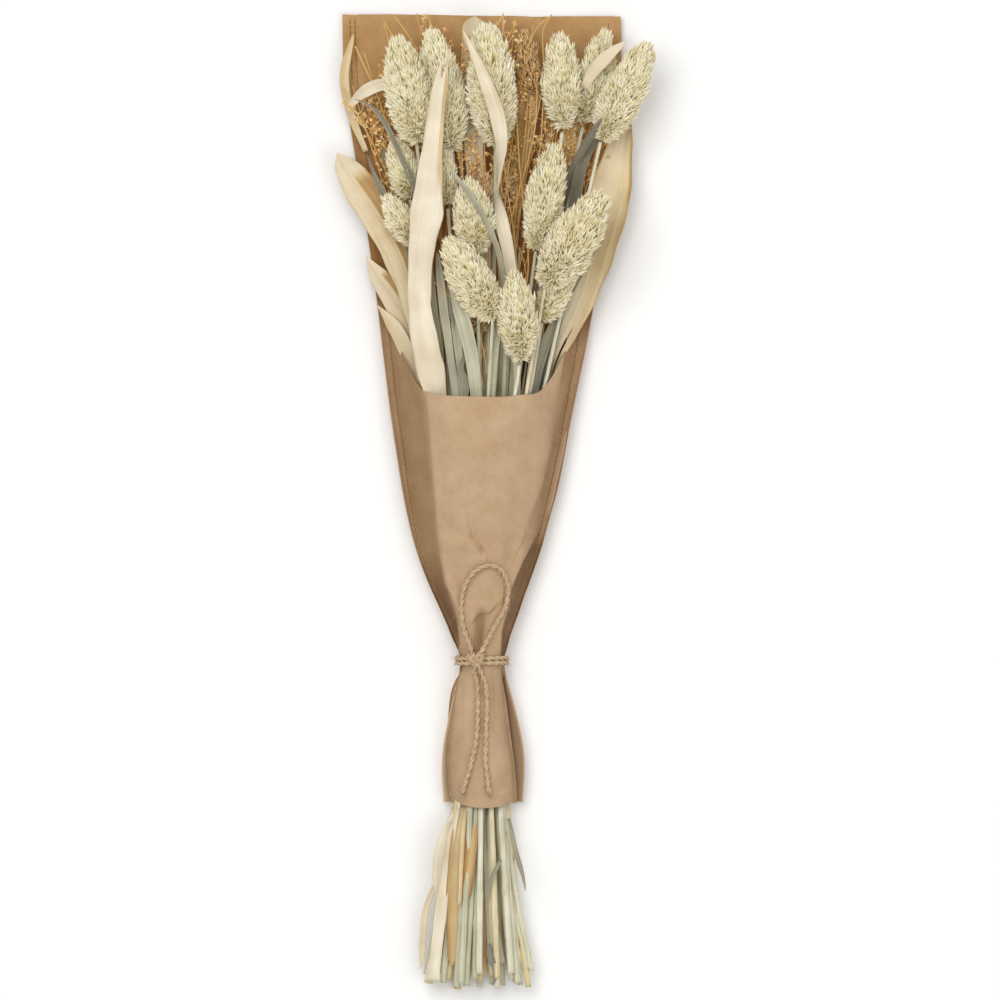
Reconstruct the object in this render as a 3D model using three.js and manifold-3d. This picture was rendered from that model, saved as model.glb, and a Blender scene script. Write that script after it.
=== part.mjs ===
// A dried bouquet lying on its back: canary-grass heads, husk-like leaves, grey blades and sprays of
// statice in a kraft-paper sleeve, gathered at the neck by a jute bow. Millimetres, +Y runs from the
// cut ends to the flowers, +Z points away from the surface that the bouquet lies on.

import * as THREE from 'three';
import { mergeVertices } from 'three/addons/utils/BufferGeometryUtils.js';
import Module from 'manifold-3d';

const wasm = await Module();
wasm.setup();

// ---------------------------------------------------------------- driving dimensions

const clearance = 0.3;           // between pieces that touch
const paperThickness = 0.8;
const footY = -170;              // the sleeve's cut foot
const neckY = -90;               // where the twine gathers it
const mouthY = 59.6;             // the front sheet's scooped edge
const topY = 272.5;              // the back sheet's top edge
const earLift = 54;              // how far the front sheet climbs at its seams
const earStart = 0.66;           // share of the half width where it begins to climb
const scoopStartY = -28;         // rows below this run straight across the front sheet
const seamPosition = 0.93;       // share of the half width where the two sheets meet
const twineDiameter = 2.6;
const neckLift = 3.9;            // the wrap lifts the neck off the surface
const neckLiftReach = 45;        // and the sleeve comes down again over this length
const bouquetEndY = -268;        // the cut ends, on average
const endScatter = 7;
const stemRadius = { top: 1.05, neck: 1.3, end: 1.75 };
const stemSides = 5;
const jointLength = 3;           // half the length of a stem's swollen joint
const jointSwelling = 0.5;
const leafThickness = 0.8;
const headSides = 12;
const headRings = 12;
const spikeSides = 8;
const spikeRings = 9;

const centring = new THREE.Vector3(1.2, 1, 0);   // brings the origin under the middle of the whole

const colours = {
  kraftFront: 0xbd9e7c,
  kraftBack: 0xb98a58,
  twine: 0xa88c6a,
  head: 0xe3dcc0,
  stem: 0xcfcdab,
  tan: 0xd9c48f,
  cream: 0xf0e6cc,
  grey: 0x9a9c8c,
  statice: 0xc08a45,
};

// ---------------------------------------------------------------- small helpers

const vec = (x, y, z) => new THREE.Vector3(x, y, z);
const { lerp, clamp, smoothstep, degToRad } = THREE.MathUtils;
const up = vec(0, 0, 1);

// A repeatable random number from 0 to 1.
function seededRandom(seed) {
  let state = seed;
  return () => {
    state = (state * 16807) % 2147483647;
    return state / 2147483647;
  };
}

// A smooth function through [place, value] pairs, level at both ends and beyond them.
function through(...pairs) {
  const slope = (k) => {
    if (k === 0 || k === pairs.length - 1) return 0;
    return (pairs[k + 1][1] - pairs[k - 1][1]) / (pairs[k + 1][0] - pairs[k - 1][0]);
  };
  return (place) => {
    const at = clamp(place, pairs[0][0], pairs.at(-1)[0]);
    const k = Math.max(pairs.findIndex(([knot]) => at <= knot) - 1, 0);
    const [[start, from], [stop, to]] = [pairs[k], pairs[k + 1]];
    const span = stop - start;
    const t = (at - start) / span;
    const ease = t * t * (3 - 2 * t);
    const bendIn = t * (1 - t) ** 2 * span * slope(k);
    const bendOut = t * t * (t - 1) * span * slope(k + 1);
    return lerp(from, to, ease) + bendIn + bendOut;
  };
}

// A geometry from corner points and the index of its triangles.
function geometryOf(points, index) {
  const geometry = new THREE.BufferGeometry();
  const places = points.flatMap((p) => p.toArray());
  geometry.setAttribute('position', new THREE.Float32BufferAttribute(places, 3));
  geometry.setIndex(index);
  return geometry;
}

// A closed solid through rings of equal count, each turning the same way about the direction of travel.
function loft(rings) {
  const sides = rings[0].length;
  const points = rings.flat();
  const centre = (ring) => ring.reduce((sum, p) => sum.add(p), vec(0, 0, 0)).divideScalar(sides);
  const first = points.push(centre(rings[0])) - 1;
  const last = points.push(centre(rings.at(-1))) - 1;
  const lastRing = (rings.length - 1) * sides;
  const index = [];
  for (let j = 0; j < sides; j += 1) {
    const next = (j + 1) % sides;
    for (let i = 0; i < rings.length - 1; i += 1) {
      const [a, b] = [i * sides + j, i * sides + next];
      index.push(a, b, b + sides, a, b + sides, a + sides);
    }
    index.push(first, next, j, last, lastRing + j, lastRing + next);
  }
  return geometryOf(points, index);
}

// A closed sheet from a grid of { point, normal, half }: two faces cut into triangles alike, and a rim.
function sheetSolid(rows) {
  const across = rows[0].length;
  const cells = rows.flat();
  const points = [1, -1].flatMap((side) => cells.map(
    ({ point, normal, half }) => point.clone().addScaledVector(normal, side * half)));
  const under = cells.length;
  const lastRow = (rows.length - 1) * across;
  const index = [];
  const rim = (a, b) => index.push(b, a, under + a, b, under + a, under + b);
  for (let i = 0; i < rows.length - 1; i += 1) {
    for (let j = 0; j < across - 1; j += 1) {
      const a = i * across + j;
      const [b, c, d] = [a + across, a + across + 1, a + 1];
      index.push(a, b, c, a, c, d);
      index.push(under + a, under + c, under + b, under + a, under + d, under + c);
    }
    rim(i * across, i * across + across);
    rim(i * across + 2 * across - 1, i * across + across - 1);
  }
  for (let j = 0; j < across - 1; j += 1) {
    rim(j + 1, j);
    rim(lastRow + j, lastRow + j + 1);
  }
  return geometryOf(points, index);
}

// A ring of points about a centre, in the plane at right angles to the run.
function rodRing(centre, run, radius, sides) {
  const across = up.clone().cross(run).normalize();
  const out = run.clone().cross(across);
  return Array.from({ length: sides }, (_, j) => {
    const angle = (2 * Math.PI * j) / sides;
    return centre.clone()
      .addScaledVector(across, radius * Math.cos(angle))
      .addScaledVector(out, radius * Math.sin(angle));
  });
}

// A rod through stations [centre, radius].
function rod(stations, sides) {
  return loft(stations.map(([centre, radius], k) => {
    const before = stations[Math.max(k - 1, 0)][0];
    const after = stations[Math.min(k + 1, stations.length - 1)][0];
    return rodRing(centre, after.clone().sub(before).normalize(), radius, sides);
  }));
}

// The closed geometry as a solid, with its shared vertices merged.
function solidOf(geometry) {
  const bare = geometry.clone();
  bare.deleteAttribute('normal');
  bare.deleteAttribute('uv');
  const merged = mergeVertices(bare);
  const vertProperties = new Float32Array(merged.getAttribute('position').array);
  const triVerts = new Uint32Array(merged.index.array);
  return new wasm.Manifold(new wasm.Mesh({ numProp: 3, vertProperties, triVerts }));
}

// Joins overlapping closed geometries into one.
function fused(geometries) {
  const whole = geometries.map(solidOf).reduce((sum, solid) => sum.add(solid));
  const mesh = whole.getMesh();
  const geometry = new THREE.BufferGeometry();
  geometry.setAttribute('position', new THREE.Float32BufferAttribute(mesh.vertProperties, 3));
  geometry.setIndex([...mesh.triVerts]);
  return geometry;
}

const bouquet = new THREE.Group();

function addPiece(name, geometry, color, roughness = 0.85) {
  const mesh = new THREE.Mesh(geometry, new THREE.MeshStandardMaterial({ color, roughness, metalness: 0 }));
  mesh.name = name;
  bouquet.add(mesh);
}

// ---------------------------------------------------------------- the sleeve's form

// Half width and middle of the sleeve along its length, as seen from the front.
const halfWidth = through(
  [footY, 21.8], [-146, 23.5], [-115, 17.2], [neckY, 11.5], [-73, 17], [-56, 24.4], [-31, 34.2],
  [-8, 40.4], [18, 45.3], [mouthY, 52.9], [109, 60.5], [149, 67.5], [207, 75.5], [248, 79], [topY, 78]);
const middle = through([footY, -7.5], [neckY, -8.1], [-31, -10.4], [mouthY, -8], [149, -5], [topY, -8.4]);

// How high the seams lie, and how far the front sheet bulges above the back one.
const seamHeight = through(
  [footY, 10], [-146, 12], [neckY, 11], [-31, 13], [mouthY, 12], [140, 6], [topY, 5]);
const bulge = through(
  [footY, 29], [-146, 29], [neckY, 23], [-56, 28], [-31, 33], [-8, 38], [mouthY, 47], [90, 20], [125, 12]);
// The front sheet narrows below the neck, where its sides fold back into pleats.
const frontShare = through([footY, 0.96], [-140, 0.9], [-105, 0.95], [-80, 1]);
const flatShare = 0.3;           // the flat strip in the middle of the back sheet
const fullness = through([footY, 4], [-125, 3.6], [neckY, 2.8], [-30, 2.6], [mouthY, 3]);

function neckRise(y) {
  const away = Math.min(Math.abs(y - neckY) / neckLiftReach, 1);
  return neckLift * (1 - away * away) ** 2;
}

// How far a place is up the curled side of the back sheet: 0 on its flat strip, 1 at its edge.
function curl(x, y) {
  const share = Math.abs(x - middle(y)) / halfWidth(y);
  return Math.max(share - flatShare, 0) / (1 - flatShare);
}

const backHeight = (x, y) => neckRise(y) + paperThickness / 2 + seamHeight(y) * curl(x, y) ** 2;
const backSlope = (x, y) => (2 * seamHeight(y) * curl(x, y)) / ((1 - flatShare) * halfWidth(y));

function frontHeight(x, y) {
  const share = Math.abs(x - middle(y)) / (halfWidth(y) * frontShare(y) * seamPosition);
  const arch = 1 - Math.min(share, 1) ** fullness(y);
  const gap = (paperThickness + clearance) * Math.hypot(1, backSlope(x, y));
  return backHeight(x, y) + gap + bulge(y) * arch;
}

// A sheet over a grid of [x, y] places, at the height that a function gives.
function paperSheet(rows, height) {
  const step = 0.5;
  return sheetSolid(rows.map((row) => row.map(([x, y]) => {
    const slopeX = (height(x + step, y) - height(x - step, y)) / (2 * step);
    const slopeY = (height(x, y + step) - height(x, y - step)) / (2 * step);
    const normal = vec(-slopeX, -slopeY, 1).normalize();
    return { point: vec(x, y, height(x, y)), normal, half: paperThickness / 2 };
  })));
}

const acrossShares = [1, 0.93, 0.8, 0.65, 0.48, 0.3, 0, -0.3, -0.48, -0.65, -0.8, -0.93, -1];
const lowerRowsY = [footY, -157, -142, -126, -111, -99, -90, -82, -71, -57, -39, -17, 8, 34];
const upperRowsY = [62, 95, 130, 165, 200, 238, topY];

function addSleeve() {
  const backRows = [...lowerRowsY, ...upperRowsY].map(
    (y) => acrossShares.map((share) => [middle(y) + share * halfWidth(y), y]));
  addPiece('paper_back', paperSheet(backRows, backHeight), colours.kraftBack);

  const frontRows = [...lowerRowsY, mouthY].map((rowY) => acrossShares.map((share) => {
    const ear = earLift * smoothstep(Math.abs(share), earStart, 1);
    const y = rowY + ear * smoothstep(rowY, scoopStartY, mouthY);
    return [middle(y) + share * halfWidth(y) * frontShare(y), y];
  }));
  addPiece('paper_front', paperSheet(frontRows, frontHeight), colours.kraftFront);
}

// ---------------------------------------------------------------- the twine

// The bow's routes, by hand, as they lie over the front sheet.
const loopRoute = [
  [-14.2, -83.2, 30.4], [-18.4, -71.5, 29.2], [-19.6, -58.5, 30.4], [-17.6, -48.5, 33.2],
  [-11.6, -40.2, 35.8], [-3.8, -37.2, 35.5], [3.0, -40.4, 32.8], [6.4, -49.6, 29.2],
  [5.0, -60.2, 28.0], [-1.2, -71.6, 29.7], [-6.4, -81.6, 31.2],
];
const tailLeftRoute = [
  [-12.4, -96.4, 30.8], [-11.0, -103.0, 30.5], [-10.4, -111.0, 30.6], [-10.4, -120.4, 30.8],
  [-10.6, -127.6, 31.3], [-11.4, -135.6, 32.1], [-13.4, -145.6, 32.5], [-16.2, -155.0, 32.2],
  [-19.0, -164.6, 31.4],
];
const tailRightRoute = [
  [-9.0, -96.4, 31.0], [-6.4, -103.0, 30.7], [-5.4, -111.0, 30.7], [-5.4, -120.4, 30.9],
  [-5.8, -127.6, 31.5], [-5.8, -135.6, 32.2], [-6.2, -145.6, 32.8], [-5.2, -155.0, 33.0],
  [-4.2, -164.8, 33.0],
];

function twineLength(route, steps) {
  const path = new THREE.CatmullRomCurve3(route.map((p) => vec(...p)));
  const section = new THREE.Shape();
  const sides = 8;
  for (let j = 0; j < sides; j += 1) {
    const angle = (2 * Math.PI * j) / sides;
    const [x, y] = [Math.cos(angle), Math.sin(angle)].map((c) => (c * twineDiameter) / 2);
    if (j === 0) section.moveTo(x, y);
    else section.lineTo(x, y);
  }
  return new THREE.ExtrudeGeometry(
    section, { steps, extrudePath: path, bevelEnabled: false, curveSegments: 1 });
}

// Two turns round the neck, and the knot that sits on them.
const wrap = {
  middleX: -8.1,
  halfX: 13.9,
  halfZ: 14.5,
  middleZ: 16.05,
  turns: [-91.9, -89.7],
  knot: vec(-11.4, -89.6, 32.2),
};

function addTie() {
  const around = 22;
  const sides = 6;
  const turnOfTwine = (y) => {
    const points = [];
    const index = [];
    for (let i = 0; i < around; i += 1) {
      const angle = (2 * Math.PI * i) / around;
      const [across, upward] = [Math.cos(angle), Math.sin(angle)];
      const out = vec(wrap.halfZ * across, 0, wrap.halfX * upward).normalize();
      const centre = vec(wrap.middleX + wrap.halfX * across, y, wrap.middleZ + wrap.halfZ * upward);
      for (let j = 0; j < sides; j += 1) {
        const roll = (2 * Math.PI * j) / sides;
        points.push(centre.clone()
          .addScaledVector(out, (twineDiameter / 2) * Math.cos(roll))
          .addScaledVector(vec(0, 1, 0), (twineDiameter / 2) * Math.sin(roll)));
        const [a, b] = [i * sides + j, i * sides + ((j + 1) % sides)];
        const ahead = ((i + 1) % around) * sides - i * sides;
        index.push(a, b, b + ahead, a, b + ahead, a + ahead);
      }
    }
    return geometryOf(points, index);
  };
  const knot = new THREE.SphereGeometry(1, 10, 6);
  knot.scale(5.2, 5, 3.6);
  knot.translate(...wrap.knot.toArray());
  addPiece('twine_tie', fused([...wrap.turns.map(turnOfTwine), knot]), colours.twine, 0.95);
  addPiece('twine_loop', twineLength(loopRoute, 26), colours.twine, 0.95);
  addPiece('twine_tail_left', twineLength(tailLeftRoute, 14), colours.twine, 0.95);
  addPiece('twine_tail_right', twineLength(tailRightRoute, 14), colours.twine, 0.95);
}

// ---------------------------------------------------------------- what grows

// Grass heads: where each one starts and ends, and how wide it is.
const heads = [
  { name: 'top_left', base: [-44.5, 198.8, 38], tip: [-56.3, 259.3, 43], width: 23.5 },
  { name: 'top_left_inner', base: [-24.4, 195.4, 27], tip: [-37.2, 263.2, 29], width: 23.5 },
  { name: 'top_centre', base: [-0.3, 197.7, 34], tip: [-5.9, 267.1, 36], width: 25.8 },
  { name: 'top_right', base: [37.2, 207.8, 31], tip: [35.6, 261.5, 33], width: 20.2 },
  { name: 'top_right_back', base: [49, 211.1, 22], tip: [62.4, 263.2, 23], width: 19 },
  { name: 'far_right', base: [58.5, 200.5, 37], tip: [86, 256, 39], width: 22.4 },
  { name: 'left_slim', base: [-48.4, 168.6, 30], tip: [-56.3, 201, 31], width: 16.8 },
  { name: 'left_low', base: [-46.2, 142.8, 36], tip: [-61.9, 169.7, 39], width: 15.1 },
  { name: 'middle', base: [-10.4, 138.3, 44], tip: [-16, 178.6, 47], width: 21.3 },
  { name: 'right_upper', base: [22.1, 138.9, 44], tip: [33.3, 199.4, 49], width: 20.2 },
  { name: 'right_front', base: [27.2, 118.2, 49], tip: [59.6, 171.4, 64], width: 25.8 },
  { name: 'front_left', base: [-2, 100.8, 52], tip: [-27.7, 145.6, 62], width: 22.4 },
  { name: 'front_centre', base: [13.3, 77.3, 46.5], tip: [9.6, 127.1, 63], width: 20.2 },
  { name: 'right_low', base: [25.5, 100.2, 38.5], tip: [40.5, 128, 40.5], width: 15.8 },
  { name: 'slim_left', base: [-27.2, 164.6, 33], tip: [-28.8, 195.4, 36], width: 11.2 },
];

// Small tan spikes, each of one colour from tip to cut end.
const spikes = [
  { name: 'centre', base: [-5, 143, 24], tip: [-6, 184, 25], width: 10 },
  { name: 'low', base: [-9.2, 92.4, 29], tip: [-12.6, 117, 31], width: 10 },
  { name: 'top', base: [19.9, 223.4, 17], tip: [14.8, 263.8, 18], width: 11.2 },
];

// Sprays of statice, lying flat behind the heads: where the fan starts, which way and how far it goes.
const sprays = [
  { name: 'left', base: [-38, 112, 8], tip: [-72, 236, 10], spread: 16, twigs: 15, seed: 11 },
  { name: 'centre', base: [4, 118, 6.5], tip: [17, 258, 6.8], spread: 15, twigs: 17, seed: 23 },
  { name: 'right', base: [30, 130, 9.5], tip: [54, 246, 10.6], spread: 13, twigs: 14, seed: 37 },
];

// Leaves and blades that run down to the cut ends. Their paths go from the pocket to the tip, and
// widths go with the path.
const longLeaves = [
  {
    name: 'leaf_front_left', color: colours.cream, wave: 0.7, endWidth: 8,
    path: [[-32, 52, 32.5], [-38.4, 76, 38], [-41, 108, 43], [-40.5, 139, 47], [-38.4, 167, 48],
      [-35.5, 200, 50], [-31.5, 232, 51], [-28.3, 248, 51]],
    widths: [3, 11, 15, 17, 18, 14, 9, 1.2], fold: 0.16,
  },
  {
    name: 'leaf_centre_twisted', color: colours.cream, wave: 0.3, endWidth: 3,
    path: [[12, 52, 25], [11, 90, 33], [8, 132, 41], [2, 158, 43], [-0.5, 176, 45], [3, 200, 48],
      [-1, 220, 51], [-14.8, 254, 52], [-20.4, 265, 51]],
    widths: [3, 5, 7, 8, 8, 9, 8, 6, 1], fold: 0.1, twist: 180,
  },
  {
    name: 'leaf_right_broad', color: colours.cream, wave: 1, endWidth: 4,
    path: [[27, 55, 13], [30.5, 74, 13], [35.6, 90, 19.2], [44, 104, 19.8], [53, 133, 22], [62, 163, 22],
      [68, 192, 19], [74, 226, 14]],
    widths: [4, 8, 13, 17, 20, 23, 16, 2], fold: 0.14,
  },
  {
    name: 'leaf_left_arched', color: colours.cream, wave: 0.6, endWidth: 4,
    path: [[-41, 56, 21.5], [-47.3, 108, 23.5], [-51.2, 128, 25], [-58.5, 145, 26], [-67.5, 161, 25],
      [-75.3, 173, 23], [-84.8, 186, 20], [-90, 196, 15]],
    widths: [3, 7, 12, 14, 14, 13, 9, 1.5], fold: 0.2,
  },
  {
    name: 'leaf_tall_back', color: colours.cream, wave: 0.5, endWidth: 3,
    path: [[-6, 100, 15.5], [-10, 160, 17], [-13, 205, 16.5], [-11, 240, 15], [-9.2, 273, 15]],
    widths: [3, 8, 12, 15, 2], fold: 0.15,
  },
  {
    name: 'blade_right_dark', color: colours.grey, wave: 0.3, endWidth: 3,
    path: [[24, 60, 19], [37, 110, 23.5], [41.7, 150, 27], [45.1, 176, 28.5], [50, 195, 28],
      [56, 203, 26.5], [64, 211, 24.5], [74.8, 222.5, 21]],
    widths: [3, 5, 6, 7, 6, 5, 4, 1.2], fold: 0.2,
  },
];

// Short leaves and blades, each rooted beside a stem inside the pocket.
const shortLeaves = [
  {
    name: 'leaf_left_lower', color: colours.cream, wave: 0.5, beside: 'left_slim', rootY: 24, out: [-1, 0],
    path: [[-36, 48, 11.5], [-44, 66, 9.5], [-47, 90, 12.5], [-52, 103, 14.5], [-61, 117, 15.5],
      [-69.7, 129.4, 15], [-74, 139, 13]],
    widths: [3, 5, 7, 8, 9, 9, 7, 1.5], fold: 0.18,
  },
  {
    name: 'leaf_left_curl', color: colours.cream, wave: 0.2, beside: 'left_slim', rootY: 44, out: [-1, 0],
    path: [[-43.5, 64, 15.4], [-48.5, 78, 15.4], [-52, 88, 19], [-60, 101, 20], [-69, 111, 19]],
    widths: [2.5, 4, 4.5, 6, 6, 1.5], fold: 0.25,
  },
  {
    name: 'blade_left_arched', color: colours.grey, wave: 0, beside: 'top_left', rootY: 36, out: [0, 1],
    path: [[-35, 110, 33], [-42.3, 166, 38.5], [-50.7, 186, 39], [-60, 206, 39], [-66, 217, 38],
      [-73, 223, 36], [-82, 224, 33]],
    widths: [2, 3, 3.2, 3.2, 3, 2.6, 2, 1], fold: 0.1,
  },
  {
    name: 'blade_left_back', color: colours.grey, wave: 0, beside: 'left_slim', rootY: 50, out: [-1, 0],
    path: [[-44, 120, 21], [-54, 164, 17], [-61.3, 186, 18], [-64.1, 199, 19], [-65.8, 213, 19]],
    widths: [2, 3, 4, 4, 3, 1], fold: 0.1,
  },
  {
    name: 'blade_left_side', color: colours.grey, wave: 0, beside: 'left_low', rootY: 56, out: [-1, 0],
    path: [[-44, 106, 28], [-47.5, 128, 29.5], [-50.5, 150, 28.4], [-64, 171.9, 28.5], [-69.2, 183, 30],
      [-73.1, 195, 31]],
    widths: [2, 3, 4, 4, 3, 1], fold: 0.1,
  },
  {
    name: 'blade_centre_silver', color: colours.grey, wave: 0, beside: 'front_left', rootY: 30, out: [1, 0],
    path: [[0, 86, 45], [3, 110, 46], [4, 126, 48], [-2, 148, 54], [-12, 166, 58], [-21, 178, 58],
      [-30, 190, 56]],
    widths: [2, 3, 3, 3, 3, 3, 2.6, 1], fold: 0.1,
  },
  {
    name: 'blade_right_low', color: colours.grey, wave: 0.2, beside: 'right_low', rootY: 20, out: [1, 0],
    path: [[21, 62, 25], [26, 84, 26], [33, 99, 26], [39, 112, 26], [47.3, 127, 27.5], [58, 142, 29]],
    widths: [3, 6, 5.5, 5, 4.5, 3.5, 1], fold: 0.2,
  },
  {
    name: 'blade_left_wide', color: colours.grey, wave: 0.3, beside: 'front_left', rootY: 10, out: [-1, 0],
    path: [[-11, 59, 37], [-15, 86, 45], [-20, 104, 48], [-27.7, 122.6, 48]],
    widths: [3, 7, 8, 8, 1.5], fold: 0.2,
  },
  {
    name: 'blade_sheath', color: colours.grey, wave: 0.2, beside: 'slim_left', rootY: 16, out: [0, 1],
    path: [[-20.4, 60, 30], [-21, 97, 35.5], [-24, 108, 36], [-26, 120, 37]],
    widths: [2, 3, 5, 8, 2], fold: 0.35,
  },
];

// ---------------------------------------------------------------- the way through the neck

// Every stem takes a place in the neck by the direction that it leaves in, so that none cross: the
// steepest on top, and the leftmost on the left.
const rowCounts = [3, 5, 6, 5, 5, 3];
const placePitch = { x: 3.2, z: 3.1 };
const lowestPlaceZ = 7.4;
const neckMiddleZ = 15;
const endPitch = { x: 10.1, z: 5.2 };
const endMiddleX = -12;
const lowestEndZ = 3;
const endStagger = 2.5;          // every second row of ends is moved sideways
const spreadStart = 40;          // the stems leave the neck straight, and spread over this length

const spread = (away) => (away * away) / (away + spreadStart);

function assignPlaces(growers) {
  const random = seededRandom(5);
  for (const grower of growers) {
    const reach = spread(grower.from.y - neckY);
    grower.lift = (grower.from.z - neckMiddleZ) / reach;
    grower.lean = (grower.from.x - middle(neckY)) / reach;
  }
  const byLift = [...growers].sort((a, b) => a.lift - b.lift);
  let taken = 0;
  rowCounts.forEach((count, row) => {
    const members = byLift.slice(taken, taken + count).sort((a, b) => a.lean - b.lean);
    taken += count;
    members.forEach((grower, k) => {
      const offset = k - (members.length - 1) / 2;
      grower.place = vec(middle(neckY) + offset * placePitch.x, neckY, lowestPlaceZ + row * placePitch.z);
      grower.end = vec(
        endMiddleX + offset * endPitch.x + (row % 2) * endStagger,
        bouquetEndY + endScatter * (2 * random() - 1),
        lowestEndZ + row * endPitch.z);
    });
  });
}

// Where a stem runs at a given place along the bouquet.
function stemPoint(grower, y) {
  const goal = y > neckY ? grower.from : grower.end;
  const share = spread(Math.abs(y - neckY)) / spread(Math.abs(goal.y - neckY));
  return grower.place.clone().lerp(goal, share).setY(y);
}

function stemRadiusAt(y, grower) {
  if (y > neckY) return lerp(stemRadius.neck, stemRadius.top, (y - neckY) / (grower.from.y - neckY));
  return lerp(stemRadius.neck, stemRadius.end, (neckY - y) / (neckY - grower.end.y));
}

// A stem from its cut end to its top, with one swollen joint below the sleeve.
function stemStations(grower, jointY) {
  const [pocketY, topOfStem] = [-20, grower.from.y];
  const joint = [jointY - jointLength, jointY, jointY + jointLength];
  const upward = [-140, neckY, -60, pocketY, (pocketY + topOfStem) / 2, topOfStem];
  return [grower.end.y, ...joint, ...upward].map((y) => {
    const swelling = y === jointY ? jointSwelling : 0;
    return [stemPoint(grower, y), stemRadiusAt(y, grower) + swelling];
  });
}

// ---------------------------------------------------------------- grass heads

// Widest a little below the middle, with blunt ends.
const headProfile = (t) => Math.sin(Math.PI * clamp(t, 0.012, 0.985) ** 0.78) ** 0.62;

// Overlapping spikelets: every second point of the surface stands out and reaches towards the tip.
function headGeometry(base, tip, width, sides = headSides, ringCount = headRings) {
  const run = tip.clone().sub(base);
  const length = run.length();
  run.normalize();
  const rings = Array.from({ length: ringCount + 1 }, (_, i) => {
    const t = i / ringCount;
    const inner = i > 0 && i < ringCount;
    const stands = rodRing(vec(0, 0, 0), run, 1, sides);
    return stands.map((direction, j) => {
      const raised = (i + j) % 2 === 0;
      const radius = (width / 2) * headProfile(t) * (raised ? 1 : 0.8);
      const reach = inner && raised ? (0.4 * length) / ringCount : 0;
      return base.clone().addScaledVector(run, t * length + reach).addScaledVector(direction, radius);
    });
  });
  return loft(rings);
}

// ---------------------------------------------------------------- leaves

const leafStep = 17;             // between the rows of a leaf
const leafShares = [1, 0.36, -0.36, -1];
const waveRate = 14;             // radians of edge wave along a leaf
const leastWavedWidth = 5;

// A thin blade along a curve, folded along its middle, waved at its edges and twisted if asked. Its
// thickness grows where it narrows to a stalk.
function leafGeometry(points, widths, { fold, wave, twist = 0 }, stalk = []) {
  const curve = new THREE.CatmullRomCurve3(points, false, 'centripetal');
  const rowCount = Math.max(6, Math.round(curve.getLength() / leafStep));
  const frames = Array.from({ length: rowCount + 1 }, (_, i) => {
    const t = i / rowCount;
    const knot = t * (widths.length - 1);
    const k = Math.min(Math.floor(knot), widths.length - 2);
    const width = lerp(widths[k], widths[k + 1], smoothstep(knot - k, 0, 1));
    const roll = degToRad(twist) * smoothstep(t, 0.25, 0.75);
    return { point: curve.getPoint(t), run: curve.getTangent(t), width, roll, t };
  });
  const rows = [...stalk, ...frames].map(({ point, run, width, roll, t, half = leafThickness / 2 }) => {
    const side = run.clone().cross(up).normalize();
    const normal = side.clone().cross(run).normalize().applyAxisAngle(run, roll);
    side.applyAxisAngle(run, roll);
    return leafShares.map((share) => {
      const waved = Math.abs(share) === 1 && width > leastWavedWidth;
      const ripple = waved ? wave * Math.sin(waveRate * t + 2 * share) : 0;
      const dip = fold * width * (0.5 - Math.abs(share)) + ripple;
      return {
        point: point.clone().addScaledVector(side, (share * width) / 2).addScaledVector(normal, -dip),
        normal,
        half,
      };
    });
  });
  return sheetSolid(rows);
}

// ---------------------------------------------------------------- statice

// A twig thickens into a small dry floret on its way and at its end: [share of its length, radius].
const twigBeads = [[0, 0.6], [0.5, 0.5], [0.62, 1.7], [0.74, 0.5], [0.95, 1.9], [1.05, 0.3]];
const longestTwig = 34;
const sprayJointY = -225;

// A flat fan of such twigs on both sides of a stalk.
function sprayGeometry(spray, grower) {
  const random = seededRandom(spray.seed);
  const base = vec(...spray.base);
  const tip = vec(...spray.tip);
  const run = tip.clone().sub(base);
  const length = run.length();
  run.normalize();
  const stem = stemStations(grower, sprayJointY);
  const pieces = [rod([...stem, [base.clone().lerp(tip, 0.5), 0.8], [tip, 0.5]], 5)];
  for (let k = 0; k < spray.twigs; k += 1) {
    const along = 0.12 + (0.84 * k) / spray.twigs;
    const side = k % 2 === 0 ? 1 : -1;
    const lean = degToRad(side * (24 + 22 * random()));
    const twigRun = run.clone().applyAxisAngle(up, lean);
    const reach = (spray.spread * (0.75 + 0.5 * random()) * (1.2 - 0.6 * along)) / Math.abs(Math.sin(lean));
    const root = base.clone().addScaledVector(run, along * length);
    const end = root.clone().addScaledVector(twigRun, Math.min(reach, longestTwig));
    pieces.push(rod(twigBeads.map(([share, radius]) => [root.clone().lerp(end, share), radius]), 4));
  }
  return fused(pieces);
}

// ---------------------------------------------------------------- the bouquet

const stalkRowsY = [-240, -205, -165, -125, neckY, -60, -20];
const stalkWidth = 2.4;
const stalkThickness = 2.2;
const stalkWidening = 62;        // below the sleeve's foot a stalk widens over this length
const sunk = 3;                  // how far a spike reaches down over its own stem

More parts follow.
